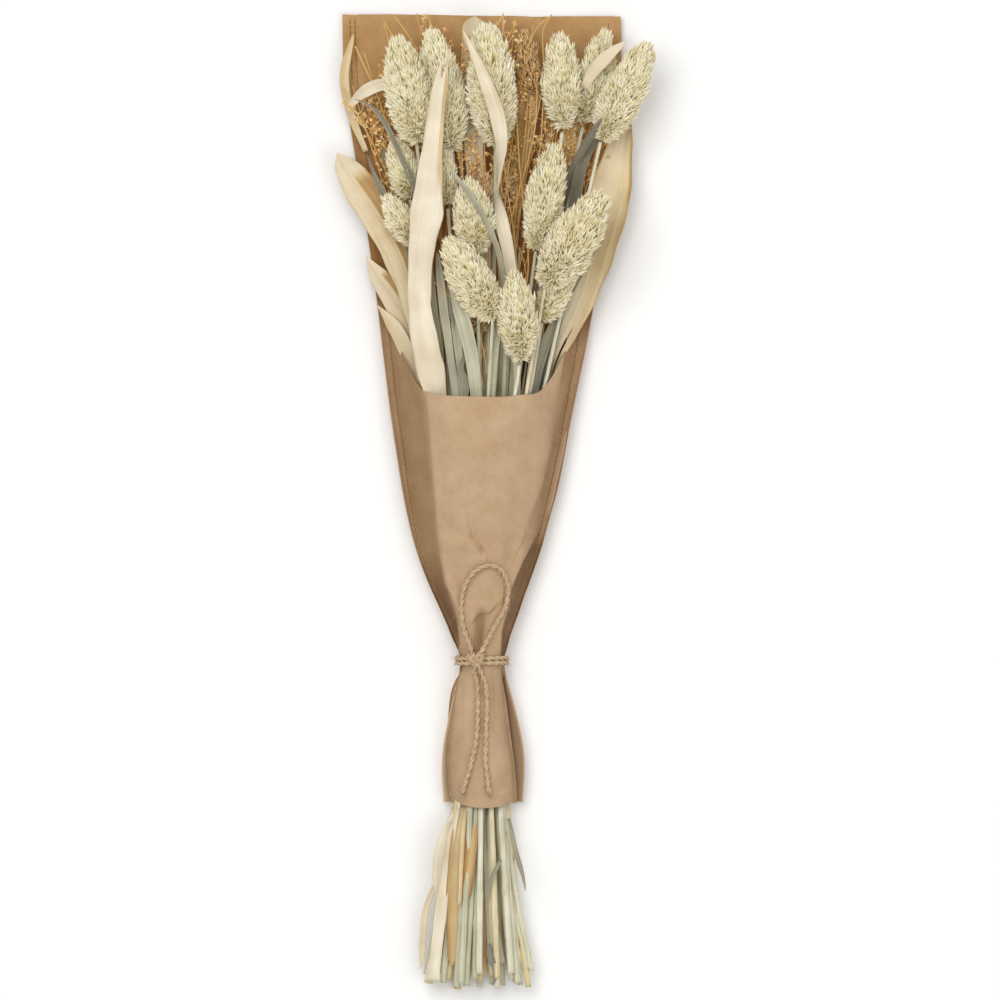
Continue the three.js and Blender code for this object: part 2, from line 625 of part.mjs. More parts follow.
function addPlants() {
  const growers = {};
  const growFrom = (key, from) => {
    growers[key] = { key, from: vec(...from) };
  };
  heads.forEach(({ name, base }) => growFrom(name, base));
  spikes.forEach(({ name, base }) => growFrom(`spike_${name}`, base));
  sprays.forEach(({ name, base }) => growFrom(`statice_${name}`, base));
  longLeaves.forEach(({ name, path }) => growFrom(name, path[0]));
  assignPlaces(Object.values(growers));

  const random = seededRandom(71);
  const jointY = () => -195 - 45 * random();

  for (const { name, base, tip, width } of heads) {
    const start = vec(...base);
    const axis = vec(...tip).sub(start).normalize();
    const foot = start.clone().addScaledVector(axis, 2 * clearance);
    addPiece(`stem_${name}`, rod(stemStations(growers[name], jointY()), stemSides), colours.stem);
    addPiece(`head_${name}`, headGeometry(foot, vec(...tip), width), colours.head);
  }

  for (const { name, base, tip, width } of spikes) {
    const stem = rod(stemStations(growers[`spike_${name}`], jointY()), stemSides);
    const start = vec(...base);
    const axis = vec(...tip).sub(start).normalize();
    const foot = start.addScaledVector(axis, -sunk);
    const head = headGeometry(foot, vec(...tip), width, spikeSides, spikeRings);
    addPiece(`spike_${name}`, fused([stem, head]), colours.tan);
  }

  for (const spray of sprays) {
    const key = `statice_${spray.name}`;
    addPiece(key, sprayGeometry(spray, growers[key]), colours.statice);
  }

  // A long leaf narrows to a stalk of about its own thickness, and widens again to a flat cut end.
  for (const leaf of longLeaves) {
    const grower = growers[leaf.name];
    const stalk = [grower.end.y, ...stalkRowsY].map((y) => {
      const run = stemPoint(grower, y + 1).sub(stemPoint(grower, y - 1)).normalize();
      const width = lerp(stalkWidth, leaf.endWidth, smoothstep(-y, -footY, -footY + stalkWidening));
      return { point: stemPoint(grower, y), run, width, roll: 0, t: 0, half: stalkThickness / 2 };
    });
    const points = leaf.path.map((p) => vec(...p));
    addPiece(leaf.name, leafGeometry(points, leaf.widths, leaf, stalk), leaf.color);
  }

  for (const leaf of shortLeaves) {
    const host = growers[leaf.beside];
    const [outX, outZ] = leaf.out;
    const ownHalf = (Math.abs(outX) * leaf.widths[0] + Math.abs(outZ) * leafThickness) / 2;
    const seat = stemRadiusAt(leaf.rootY, host) + clearance + ownHalf;
    const root = stemPoint(host, leaf.rootY).add(vec(outX * seat, 0, outZ * seat));
    const points = [root, ...leaf.path.map((p) => vec(...p))];
    addPiece(leaf.name, leafGeometry(points, leaf.widths, leaf), leaf.color);
  }
}

addSleeve();
addTie();
addPlants();

bouquet.position.copy(centring);

export default bouquet;
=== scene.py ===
# %% [markdown]
# # A dried bouquet in a kraft-paper sleeve
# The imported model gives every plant, the two paper sheets and the twine as plain solids. This
# lesson dresses them: each piece is made again where its solid lies, as fine as the eye expects a
# step away, and gets a finish of its own. Lengths are metres, +Y runs from the cut ends to the
# flowers and +Z points at the camera. A length written in millimetres is multiplied by MM.

# %% Load the model
import math

import bpy
import numpy as np
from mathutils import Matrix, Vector


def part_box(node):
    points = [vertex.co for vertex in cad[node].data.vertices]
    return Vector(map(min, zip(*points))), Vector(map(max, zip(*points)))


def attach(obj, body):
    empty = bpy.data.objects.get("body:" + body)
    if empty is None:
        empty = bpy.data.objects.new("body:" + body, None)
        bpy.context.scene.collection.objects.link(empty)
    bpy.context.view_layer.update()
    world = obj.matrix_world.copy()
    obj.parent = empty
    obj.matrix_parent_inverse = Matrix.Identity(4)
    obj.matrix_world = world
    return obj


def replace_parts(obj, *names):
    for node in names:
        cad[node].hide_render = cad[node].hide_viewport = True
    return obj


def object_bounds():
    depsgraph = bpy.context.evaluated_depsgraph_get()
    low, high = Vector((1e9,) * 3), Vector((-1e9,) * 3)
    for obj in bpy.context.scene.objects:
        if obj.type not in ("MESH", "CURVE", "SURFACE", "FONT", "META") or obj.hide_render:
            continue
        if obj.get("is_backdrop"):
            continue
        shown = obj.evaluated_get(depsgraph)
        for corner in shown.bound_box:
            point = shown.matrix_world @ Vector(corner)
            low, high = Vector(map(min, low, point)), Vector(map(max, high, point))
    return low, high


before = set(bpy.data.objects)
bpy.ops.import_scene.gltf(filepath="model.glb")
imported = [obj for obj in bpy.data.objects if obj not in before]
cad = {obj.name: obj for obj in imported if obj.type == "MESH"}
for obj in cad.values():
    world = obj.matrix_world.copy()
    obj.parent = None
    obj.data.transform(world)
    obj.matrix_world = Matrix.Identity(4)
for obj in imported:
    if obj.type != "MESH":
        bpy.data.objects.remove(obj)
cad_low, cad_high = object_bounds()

MM = 0.001
print(len(cad), "solids,", [round(1000 * (b - a)) for a, b in zip(cad_low, cad_high)], "mm")

# %% [markdown]
# ## Camera, floor and light
# The bunch lies on its back, and the photograph looks straight at its front, so the camera hangs
# above it and looks down. A very long lens from 10 m draws near and far parts at one scale, as in a
# product picture. The world gives an even pale light. A large soft lamp above and to the left
# gives each fold a light and a dark side, and a weaker one fills in from the lower right.

# %% Camera
VIEW_WIDTH = 560 * MM            # what the picture's width covers, at the height of the flowers
FLOWER_HEIGHT = 30 * MM
CAMERA_AWAY = 10.0
SENSOR = 36.0

eye = bpy.data.cameras.new("camera")
eye.sensor_width = SENSOR
eye.lens = SENSOR * CAMERA_AWAY / VIEW_WIDTH
eye.clip_end = 4 * CAMERA_AWAY
camera = bpy.data.objects.new("camera", eye)
camera.location = (3.2 * MM, 0.4 * MM, FLOWER_HEIGHT + CAMERA_AWAY)
bpy.context.scene.collection.objects.link(camera)
bpy.context.scene.camera = camera
print("lens", round(eye.lens), "mm")

# %% Light
def soft_lamp(name, place, size, watts):
    """A square lamp that looks at the middle of the bouquet."""
    lamp = bpy.data.lights.new(name, "AREA")
    lamp.size = size
    lamp.energy = watts
    holder = bpy.data.objects.new(name, lamp)
    holder.location = place
    holder.rotation_euler = (-Vector(place)).to_track_quat("-Z", "Y").to_euler()
    bpy.context.scene.collection.objects.link(holder)


soft_lamp("key_lamp", (-0.5, 0.6, 2.25), 1.5, 31)
soft_lamp("fill_lamp", (0.9, -0.6, 2.1), 1.4, 12)

world = bpy.data.worlds.new("studio")
world.use_nodes = True
sky = world.node_tree.nodes["Background"]
sky.inputs["Color"].default_value = (1.0, 0.99, 0.975, 1)
sky.inputs["Strength"].default_value = 0.47
bpy.context.scene.world = world
bpy.context.scene.view_settings.view_transform = "Standard"

# %% [markdown]
# ## Small tools
# Most of what grows here is one of three things: a rod along a line, a ribbon along a line, or a
# small form that repeats hundreds of times. The lines come from the solids themselves: a plane cuts
# the solid, the middle of the cut is a point of the line, and the next plane is set one step on.

# %% Selecting
def deselect():
    """Nothing is selected, and Blender is in object mode."""
    if bpy.context.mode != "OBJECT":
        bpy.ops.object.mode_set(mode="OBJECT")
    bpy.ops.object.select_all(action="DESELECT")


def pick(piece):
    """Only this piece is selected and active."""
    deselect()
    piece.select_set(True)
    bpy.context.view_layer.objects.active = piece


def apply_modifier(piece, kind, **settings):
    """Adds a modifier with its settings, and applies it."""
    pick(piece)
    modifier = piece.modifiers.new(kind.title(), kind)
    for key, value in settings.items():
        setattr(modifier, key, value)
    bpy.ops.object.modifier_apply(modifier=modifier.name)


def points_of(piece):
    """The piece's vertices as an array."""
    points = np.empty(len(piece.data.vertices) * 3)
    piece.data.vertices.foreach_get("co", points)
    return points.reshape(-1, 3)


def move_points(piece, points):
    piece.data.vertices.foreach_set("co", points.ravel())
    piece.data.update()


# %% A new mesh from arrays, and many copies of one form
def mesh_piece(name, points, corners, sizes, smooth=True):
    """A mesh object: corners are the vertex numbers of all faces in turn, sizes their counts."""
    mesh = bpy.data.meshes.new(name)
    mesh.vertices.add(len(points))
    mesh.vertices.foreach_set("co", np.asarray(points, dtype=np.float32).ravel())
    mesh.loops.add(len(corners))
    mesh.loops.foreach_set("vertex_index", np.asarray(corners, dtype=np.int32))
    mesh.polygons.add(len(sizes))
    starts = np.concatenate([[0], np.cumsum(sizes)[:-1]])
    mesh.polygons.foreach_set("loop_start", starts.astype(np.int32))
    mesh.polygons.foreach_set("use_smooth", np.full(len(sizes), smooth))
    mesh.update(calc_edges=True)
    piece = bpy.data.objects.new(name, mesh)
    bpy.context.scene.collection.objects.link(piece)
    return piece


def note(piece, label, values):
    """Keeps one number for each vertex, for the finish to read."""
    attribute = piece.data.attributes.new(label, "FLOAT", "POINT")
    attribute.data.foreach_set("value", np.asarray(values, dtype=np.float32).ravel())


def form_of(piece):
    """The points, corners and sizes of a small form, which is then removed."""
    corners = np.concatenate([list(face.vertices) for face in piece.data.polygons])
    sizes = np.array([len(face.vertices) for face in piece.data.polygons])
    form = points_of(piece), corners, sizes
    bpy.data.objects.remove(piece)
    return form


def many(form, turns, places):
    """Copies of a form: turns are 3 x 3 arrays whose columns are its axes, places its origins."""
    points, corners, sizes = form
    turned = np.einsum("nij,vj->nvi", turns, points) + places[:, None]
    shift = np.arange(len(places)) * len(points)
    return (turned.reshape(-1, 3), (corners[None] + shift[:, None]).ravel(),
            np.tile(sizes, len(places)))


def together(parts):
    """Several (points, corners, sizes) as one."""
    count, points, corners, sizes = 0, [], [], []
    for part in parts:
        points.append(part[0])
        corners.append(part[1] + count)
        sizes.append(part[2])
        count += len(part[0])
    return np.concatenate(points), np.concatenate(corners), np.concatenate(sizes)


# %% A form drawn up from a circle
def drawn_up(name, sides, rings):
    """A filled circle, extruded from ring to ring: (height, half width, half depth, shift)."""
    deselect()
    height, wide, deep, shift = rings[0]
    bpy.ops.mesh.primitive_circle_add(vertices=sides, radius=1, fill_type="NGON",
                                      location=(shift, 0, height))
    piece = bpy.context.object
    piece.name = name
    bpy.ops.object.transform_apply(location=True)
    bpy.ops.object.mode_set(mode="EDIT")
    bpy.ops.mesh.select_all(action="SELECT")
    bpy.ops.transform.resize(value=(wide, deep, 1), center_override=(shift, 0, height))
    for next_height, next_wide, next_deep, next_shift in rings[1:]:
        step = (next_shift - shift, 0, next_height - height)
        bpy.ops.mesh.extrude_region_move(TRANSFORM_OT_translate={"value": step})
        height, shift = next_height, next_shift
        bpy.ops.transform.resize(value=(next_wide / wide, next_deep / deep, 1),
                                 center_override=(shift, 0, height))
        wide, deep = next_wide, next_deep
    bpy.ops.mesh.select_all(action="SELECT")
    bpy.ops.mesh.normals_make_consistent(inside=False)
    bpy.ops.object.mode_set(mode="OBJECT")
    return piece


# %% Lines along the solids
def triangles_of(node):
    """The corners of a solid's triangles, as an array of count x 3 x 3."""
    mesh = cad[node].data
    mesh.calc_loop_triangles()
    index = np.array([t.vertices for t in mesh.loop_triangles])
    return points_of(cad[node])[index]


def cut(triangles, origin, normal, reach):
    """Where a plane cuts the triangles' edges, within reach of its origin."""
    away = (triangles - origin) @ normal
    found = []
    for a, b in ((0, 1), (1, 2), (2, 0)):
        crossing = away[:, a] * away[:, b] < 0
        share = away[crossing, a] / (away[crossing, a] - away[crossing, b])
        edge = triangles[crossing, b] - triangles[crossing, a]
        found.append(triangles[crossing, a] + share[:, None] * edge)
    found = np.vstack(found)
    return found[np.linalg.norm(found - origin, axis=1) < reach]


def unit(vector):
    return vector / np.linalg.norm(vector)


def units(vectors):
    """Each row of an array at length one."""
    return vectors / np.linalg.norm(vectors, axis=1)[:, None]


def ramp(values, low, high):
    """0 at low, 1 at high and straight between, whichever of the two is greater."""
    return np.clip((values - low) / (high - low), 0, 1)


def smoothed(values, rounds=10):
    """Each value drawn towards its neighbours, the two ends kept."""
    values = np.array(values, dtype=float)
    for _ in range(rounds):
        values[1:-1] = (values[:-2] + 2 * values[1:-1] + values[2:]) / 4
    return values


FOLLOW_STEP = 3 * MM
BROAD_SECTION = 3.0              # a section this much broader than deep has a side of its own
STEM_REACH, BLADE_REACH, LEAF_REACH = 6 * MM, 9 * MM, 15 * MM


def follow(node, reach, stop=1.0):
    """The middle line of a long solid from its lower end up to where y is stop, with the direction
    and the breadth of its widest side at each point. A cut counts within reach of the line."""
    triangles = triangles_of(node)
    points = triangles.reshape(-1, 3)
    low = points[:, 1].min()
    here = points[points[:, 1] < low + 1 * MM].mean(axis=0)
    run = np.array([0.0, 1.0, 0.0])
    side = np.array([1.0, 0.0, 0.0])
    line, sides, widths = [here], [side], [None]
    while here[1] < stop:
        section = cut(triangles, here + run * FOLLOW_STEP, run, reach)
        if len(section) < 4:
            break
        middle = (section.max(axis=0) + section.min(axis=0)) / 2
        spread = section - section.mean(axis=0)
        amounts, axes = np.linalg.eigh(spread.T @ spread)
        level = unit(np.cross(run, [0, 0, 1]))
        if amounts[2] > BROAD_SECTION * amounts[1]:
            side = axes[:, 2] if axes[:, 2] @ side > 0 else -axes[:, 2]
        else:
            side = unit(side * 0.7 + (level if level @ side > 0 else -level) * 0.3)
        across = section @ side
        run = unit(0.5 * run + 0.5 * unit(middle - here))
        here = middle
        line.append(here)
        sides.append(side)
        widths.append(across.max() - across.min())
    widths[0] = widths[1]
    return smoothed(line), smoothed(sides, 4), smoothed(widths, 4)


def lengths_along(line):
    return np.concatenate([[0], np.cumsum(np.linalg.norm(np.diff(line, axis=0), axis=1))])


def at_each(line, values, places):
    """Values given along a line, read at other places along it."""
    known = lengths_along(line)
    return np.array([np.interp(places, known, column) for column in np.transpose(values)]).T


# %% A rod along a line
def turning_frames(line):
    """Two directions across the line at each of its points, turning as little as they can."""
    runs = units(np.gradient(line, axis=0))
    across = unit(np.cross(runs[0], [0.1, 0, 1]))
    frames = []
    for run in runs:
        across = unit(across - run * (across @ run))
        frames.append((across, np.cross(run, across)))
    return np.array(frames)


def rod_form(line, radii, section):
    """A closed rod: section gives (angle, share of the radius) for the ring at each point."""
    frames = turning_frames(line)
    rings = []
    for k, (across, out) in enumerate(frames):
        angles, shares = section(k)
        reach = radii[k] * shares
        rings.append(line[k] + np.outer(reach * np.cos(angles), across)
                     + np.outer(reach * np.sin(angles), out))
    sides = len(rings[0])
    points = np.concatenate(rings)
    j = np.arange(sides)
    start = (np.arange(len(line) - 1) * sides)[:, None]
    ahead = (j + 1) % sides
    quads = np.stack([start + j, start + ahead, start + ahead + sides, start + j + sides], axis=-1)
    corners = np.concatenate([quads.ravel(), j[::-1], len(points) - sides + j])
    sizes = np.concatenate([np.full(quads.size // 4, 4), [sides, sides]])
    return points, corners, sizes


def round_section(sides):
    angles = 2 * np.pi * np.arange(sides) / sides
    return lambda k: (angles, np.ones(sides))


# %% [markdown]
# ## Shared effects for the finishes
# Two effects come back in many materials, so each is a node group. Dry fibres are long streaks that
# run along a stem or a leaf, with larger pale and dark blotches. Pulp is what unbleached paper is
# made of: a soft cloudiness, short darker fibres that lie every way, and a fine tooth.

# %% Helpers for nodes
def socket(tree, kind, source=None, **settings):
    """Adds a node with its settings and inputs, links source to its first input, and returns it."""
    node = tree.nodes.new("ShaderNode" + kind)
    for key, value in settings.items():
        if key in ("operation", "blend_type", "data_type", "attribute_name", "uv_map", "node_tree"):
            setattr(node, key, value)
        else:
            node.inputs[key].default_value = value
    if source is not None:
        tree.links.new(source, node.inputs[0])
    return node


def note_of(tree, label):
    """The number that note() kept under a label."""
    return socket(tree, "Attribute", attribute_name=label).outputs["Fac"]


def place_of(tree):
    return socket(tree, "TexCoord").outputs["Object"]


def spread_out(tree, source, low, high, to_low=0.0, to_high=1.0):
    """Maps low..high to to_low..to_high."""
    ends = {"From Min": low, "From Max": high, "To Min": to_low, "To Max": to_high}
    return socket(tree, "MapRange", source, **ends).outputs[0]


def blend(tree, factor, first, second, kind="MIX"):
    """Mixes two colours; a colour is a tuple or an output."""
    node = socket(tree, "Mix", data_type="RGBA", blend_type=kind)
    for place, value in ((0, factor), (6, first), (7, second)):
        if hasattr(value, "is_linked"):
            tree.links.new(value, node.inputs[place])
        else:
            node.inputs[place].default_value = value
    return node.outputs[2]


def paint(code):
    """A colour from its hex code, as Blender keeps it."""
    parts = [int(code[i:i + 2], 16) / 255 for i in (0, 2, 4)]
    return (*[p / 12.92 if p < 0.04045 else ((p + 0.055) / 1.055) ** 2.4 for p in parts], 1.0)


def new_group(name, inputs, outputs):
    """A node group whose inputs are (label, kind) and whose outputs are all numbers."""
    group = bpy.data.node_groups.new(name, "ShaderNodeTree")
    for label, kind in inputs:
        group.interface.new_socket(label, in_out="INPUT", socket_type="NodeSocket" + kind)
    for label in outputs:
        group.interface.new_socket(label, in_out="OUTPUT", socket_type="NodeSocketFloat")
    return group, group.nodes.new("NodeGroupInput"), group.nodes.new("NodeGroupOutput")


# %% Dry fibres and pulp
def speckle(tree, place, low, high, **settings):
    """A noise at a place, with low..high of it spread out to 0..1."""
    return spread_out(tree, socket(tree, "TexNoise", place, **settings).outputs[0], low, high)


def dry_fibres():
    group, given, result = new_group(
        "dry_fibres", [("Place", "Vector"), ("Across", "Float"), ("Along", "Float")],
        ["Streaks", "Blotches"])
    place = given.outputs["Place"]
    parts = socket(group, "SeparateXYZ", place)
    joined = socket(group, "CombineXYZ")
    for axis, rate in ((0, "Across"), (1, "Along"), (2, "Across")):
        scaled = socket(group, "Math", parts.outputs[axis], operation="MULTIPLY")
        group.links.new(given.outputs[rate], scaled.inputs[1])
        group.links.new(scaled.outputs[0], joined.inputs[axis])
    streaks = speckle(group, joined.outputs[0], 0.3, 0.7, Scale=1, Detail=3, Roughness=0.65)
    blotches = speckle(group, place, 0.35, 0.65, Scale=55, Detail=2)
    group.links.new(streaks, result.inputs["Streaks"])
    group.links.new(blotches, result.inputs["Blotches"])
    return group


def pulp():
    group, given, result = new_group("pulp", [("Place", "Vector")], ["Cloud", "Fibres", "Tooth"])
    for label, low, high, settings in (
            ("Cloud", 0.3, 0.7, dict(Scale=60, Detail=6, Roughness=0.72)),
            ("Fibres", 0.58, 0.75, dict(Scale=900, Detail=3, Roughness=0.7, Distortion=1.6)),
            ("Tooth", 0.2, 0.8, dict(Scale=1500, Detail=2))):
        group.links.new(speckle(group, given.outputs[0], low, high, **settings),
                        result.inputs[label])
    return group


FIBRES, PULP = dry_fibres(), pulp()
print("groups:", FIBRES.name, PULP.name)


# %% Finishes for what grew
def new_finish(name, gloss):
    """A material with its tree."""
    finish = bpy.data.materials.new(name)
    finish.use_nodes = True
    finish.node_tree.nodes["Principled BSDF"].inputs["Specular IOR Level"].default_value = gloss
    return finish, finish.node_tree


def wire_up(tree, colour, rough, height, strength, depth):
    """Links colour, roughness and relief to the shader; the depth of the relief is in mm."""
    shader = tree.nodes["Principled BSDF"]
    bump = socket(tree, "Bump", Strength=strength, Distance=depth * MM)
    tree.links.new(height, bump.inputs["Height"])
    for label, made in (("Base Color", colour), ("Roughness", rough), ("Normal", bump.outputs[0])):
        tree.links.new(made, shader.inputs[label])


def colour_ramp(tree, factor, stops):
    node = socket(tree, "ValToRGB", factor)
    band = node.color_ramp
    while len(band.elements) < len(stops):
        band.elements.new(0.5)
    for element, (place, colour) in zip(band.elements, stops):
        element.position = place
        element.color = paint(colour)
    return node.outputs[0]


def grown_finish(name, stops, dark, across, along, by_uv=False, roughness=0.62, gloss=0.25,
                 streaks=0.5, depth=0.25):
    """Dry stem or leaf: its tint from the stops, darker streaks along it, and ribs in relief."""
    finish, tree = new_finish(name, gloss)
    place = socket(tree, "UVMap", uv_map="UVMap").outputs[0] if by_uv else place_of(tree)
    fibres = socket(tree, "Group", node_tree=FIBRES, Across=across, Along=along)
    tree.links.new(place, fibres.inputs["Place"])
    colour = colour_ramp(tree, note_of(tree, "tint"), stops)
    lines = spread_out(tree, fibres.outputs["Streaks"], 0, 1, streaks, 0)
    colour = blend(tree, lines, colour, paint(dark))
    cloud = spread_out(tree, fibres.outputs["Blotches"], 0, 1, 0, 0.22)
    colour = blend(tree, cloud, colour, paint(dark), "MULTIPLY")
    rough = spread_out(tree, fibres.outputs["Streaks"], 0, 1, roughness + 0.15, roughness - 0.1)
    wire_up(tree, colour, rough, fibres.outputs["Streaks"], 0.6, depth)
    return finish


stem_finish = grown_finish(
    "dry_stem",
    [(0.0, "d3d1b8"), (0.3, "e6e4cb"), (0.6, "f8f4e0"), (0.84, "f0dba8"), (1.0, "a97f42")],
    "a09a72", 1000, 24, streaks=0.55, depth=0.3)
leaf_finish = grown_finish(
    "husk_leaf",
    [(0.0, "f3ebd8"), (0.35, "ece0c5"), (0.68, "dfca9f"), (0.88, "c9ab73"), (1.0, "a8743c")],
    "b69b68", 1500, 9, by_uv=True, roughness=0.5, gloss=0.3, streaks=0.32, depth=0.16)
blade_finish = grown_finish(
    "grey_blade", [(0.0, "8d8776"), (0.3, "aca691"), (0.6, "cbc5aa"), (1.0, "e4dfc4")],
    "615b46", 2200, 14, by_uv=True, streaks=0.55)
twig_finish = grown_finish(
    "statice_twig", [(0.0, "e0af60"), (0.6, "f0c883"), (1.0, "fbe5b0")],
    "c3934a", 2500, 400, streaks=0.3)


# %% [markdown]
# ## The camera's hard case first: the twine
# Jute twine is two loose plies turned round each other, with hairs standing off. Its bow is one
# loop with two tails. A curve with a round bevel would look like wire, so each length is a tube
# whose section is the outline of two plies, turned a little further at every ring. The hairs are a
# piece of their own.

# %% The bow's routes, as they lie over the front sheet
LOOP_ROUTE = [
    (-13.0, -82.2, 30.4), (-17.2, -70.5, 29.2), (-18.4, -57.5, 30.4), (-16.4, -47.5, 33.2),
    (-10.4, -39.2, 35.8), (-2.6, -36.2, 35.5), (4.2, -39.4, 32.8), (7.6, -48.6, 29.2),
    (6.2, -59.2, 28.0), (0.0, -70.6, 29.7), (-5.2, -80.6, 31.2)]
TAIL_LEFT_ROUTE = [
    (-11.2, -95.4, 30.8), (-9.8, -102.0, 30.5), (-9.2, -110.0, 30.6), (-9.2, -119.4, 30.8),
    (-9.4, -126.6, 31.3), (-10.2, -134.6, 32.1), (-12.2, -144.6, 32.5), (-15.0, -154.0, 32.2),
    (-17.8, -163.6, 31.4)]
TAIL_RIGHT_ROUTE = [
    (-7.8, -95.4, 31.0), (-5.2, -102.0, 30.7), (-4.2, -110.0, 30.7), (-4.2, -119.4, 30.9),
    (-4.6, -126.6, 31.5), (-4.6, -134.6, 32.2), (-5.0, -144.6, 32.8), (-4.0, -154.0, 33.0),
    (-3.0, -163.8, 33.0)]
TWINE = 2.6 * MM
PLY_TURN = 9 * MM                # the plies come round once in this length


def eased(route, step=0.4 * MM):
    """A smooth line through the points of a route, at even steps."""
    given = np.array(route) * MM
    ends = np.vstack([2 * given[0] - given[1], given, 2 * given[-1] - given[-2]])
    pieces = []
    for a, b, c, d in zip(ends, ends[1:], ends[2:], ends[3:]):
        t = np.linspace(0, 1, 24, endpoint=False)[:, None]
        pieces.append(0.5 * (2 * b + (c - a) * t + (2 * a - 5 * b + 4 * c - d) * t ** 2
                             + (3 * b - a - 3 * c + d) * t ** 3))
    line = np.vstack([*pieces, given[-1:]])
    long = lengths_along(line)
    return at_each(line, line, np.linspace(0, long[-1], int(long[-1] / step) + 1))


# %% A length of twine
PLY_SIDES = 16
ply_angles = 2 * np.pi * np.arange(PLY_SIDES) / PLY_SIDES


def ply_outline(turn):
    """The outline of two plies side by side, turned about the twine's middle."""
    apart, radius = 0.5, 0.56    # shares of the twine's radius
    lean = np.abs(np.cos(ply_angles))
    reach = apart * lean + np.sqrt(radius ** 2 - (apart ** 2) * (1 - lean ** 2))
    return ply_angles + turn, reach


def twine_form(line, closed=False):
    """The two plies along a line; on a closed line they meet themselves at its end."""
    turns = 2 * np.pi * lengths_along(line) / PLY_TURN
    if closed:
        turns *= np.round(turns[-1] / np.pi) * np.pi / turns[-1]
    wobble = 1 + 0.05 * np.sin(37 * turns) * np.cos(11 * turns)
    return rod_form(line, TWINE / 2 * wobble, lambda k: ply_outline(turns[k]))


# %% The finish of jute
def jute_finish():
    """Tan and grey-brown fibres that wind round with the plies."""
    finish, tree = new_finish("jute", 0.1)
    fine = socket(tree, "TexNoise", place_of(tree), Scale=1800, Detail=3, Roughness=0.7).outputs[0]
    broad = socket(tree, "TexNoise", place_of(tree), Scale=260, Detail=2).outputs[0]
    colour = colour_ramp(tree, spread_out(tree, fine, 0.3, 0.7),
                         [(0.0, "a0835f"), (0.4, "cfb28c"), (1.0, "eddcbf")])
    shade = spread_out(tree, broad, 0.3, 0.7, 0, 0.25)
    colour = blend(tree, shade, colour, paint("bba488"), "MULTIPLY")
    wire_up(tree, colour, spread_out(tree, fine, 0.3, 0.7, 0.98, 0.75), fine, 0.8, 0.3)
    return finish


jute = jute_finish()


def finished(piece, finish):
    """Gives a piece its finish and the body that it rides on."""
    piece.data.materials.append(finish)
    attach(piece, "root")
    return piece


twine_lines = {}
for node, route, far_end in (("twine_loop", LOOP_ROUTE, "object"),
                             ("twine_tail_left", TAIL_LEFT_ROUTE, "bare"),
                             ("twine_tail_right", TAIL_RIGHT_ROUTE, "bare")):
    line = twine_lines[node] = eased(route)
    piece = finished(mesh_piece("jute_" + node[6:], *twine_form(line)), jute)
    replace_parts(piece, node)

# %% [markdown]
# ## The wrap and the knot
# The twine goes twice round the neck, and the bow is knotted on top. The two turns are closed loops
# of the same twine, on the oval that the wrapped sleeve has. The knot is a short length that dives
# under the turns, comes up, and crosses over itself.

# %% Two turns and a knot
tie_low, tie_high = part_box("twine_tie")
wrap_middle = np.array([(tie_low[0] + tie_high[0]) / 2, 0, 16.05 * MM])
wrap_half = ((tie_high[0] - tie_low[0]) / 2 - TWINE / 2, 14.5 * MM)
WRAPS = (-90.9 * MM, -88.3 * MM)
KNOT = np.array([-10.2, -88.6, 32.2]) * MM


def wrap_line(y):
    angles = np.linspace(0, 2 * np.pi, 220)
    return wrap_middle + np.stack([wrap_half[0] * np.cos(angles), np.full(len(angles), y),
                                   wrap_half[1] * np.sin(angles)], axis=1)


def knot_line():
    t = np.linspace(0, 2 * np.pi, 110, endpoint=False)
    out = np.stack([3.6 * np.sin(t) + 0.7 * np.sin(2 * t), 2.9 * np.cos(t) - 1.2 * np.cos(2 * t),
                    1.5 * np.cos(3 * t) + 0.4], axis=1) * MM
    return KNOT + out


def cross_line():
    t = np.linspace(-1, 1, 50)
    return KNOT + np.stack([-4.4 * t, 2.6 * t, 2.3 - 3.2 * t ** 2], axis=1) * MM


LEGS = [     # from inside the knot to where the loop and the tails start
    [(-8.6, -89.6, 33.0), (-11.6, -86.6, 33.0), (-12.9, -83.4, 30.9), (-13.4, -81.0, 30.3)],
    [(-12.0, -89.4, 33.2), (-9.2, -86.8, 33.4), (-6.4, -83.2, 32.0), (-4.6, -79.4, 31.1)],
    [(-8.4, -88.4, 33.0), (-10.6, -92.2, 32.6), (-11.2, -95.0, 31.0), (-10.8, -97.2, 30.7)],
    [(-12.2, -88.2, 33.0), (-9.6, -91.8, 33.2), (-7.9, -95.0, 31.4), (-7.0, -97.4, 31.0)]]
wraps = [wrap_line(y) for y in WRAPS]
legs = [eased(route) for route in LEGS] + [knot_line(), cross_line()]
tie_lines = wraps + legs
tie_forms = [twine_form(line, closed=True) for line in wraps] + [twine_form(line) for line in legs]
tie = finished(mesh_piece("jute_tie", *together(tie_forms)), jute)
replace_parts(tie, "twine_tie")

# %% Loose hairs
HAIR_STEPS = 7
BOW_HAIRS, TIE_HAIRS = 4.4, 3.0      # to each mm of twine
LOWEST_HAIR = 12 * MM                # the flat underside stays clean
END_THREADS = 46
hair_random = np.random.default_rng(4)


def hair(start, run, long, thick):
    """One fine fibre that curls as it leaves."""
    bend = hair_random.normal(size=3) * 0.35
    line, here, way = [], start, unit(run)
    for _ in range(HAIR_STEPS):
        line.append(here)
        here = here + way * long / HAIR_STEPS
        way = unit(way + bend * 0.9)
    radii = thick / 2 * np.linspace(1, 0.35, HAIR_STEPS)
    return rod_form(np.array(line), radii, round_section(3))


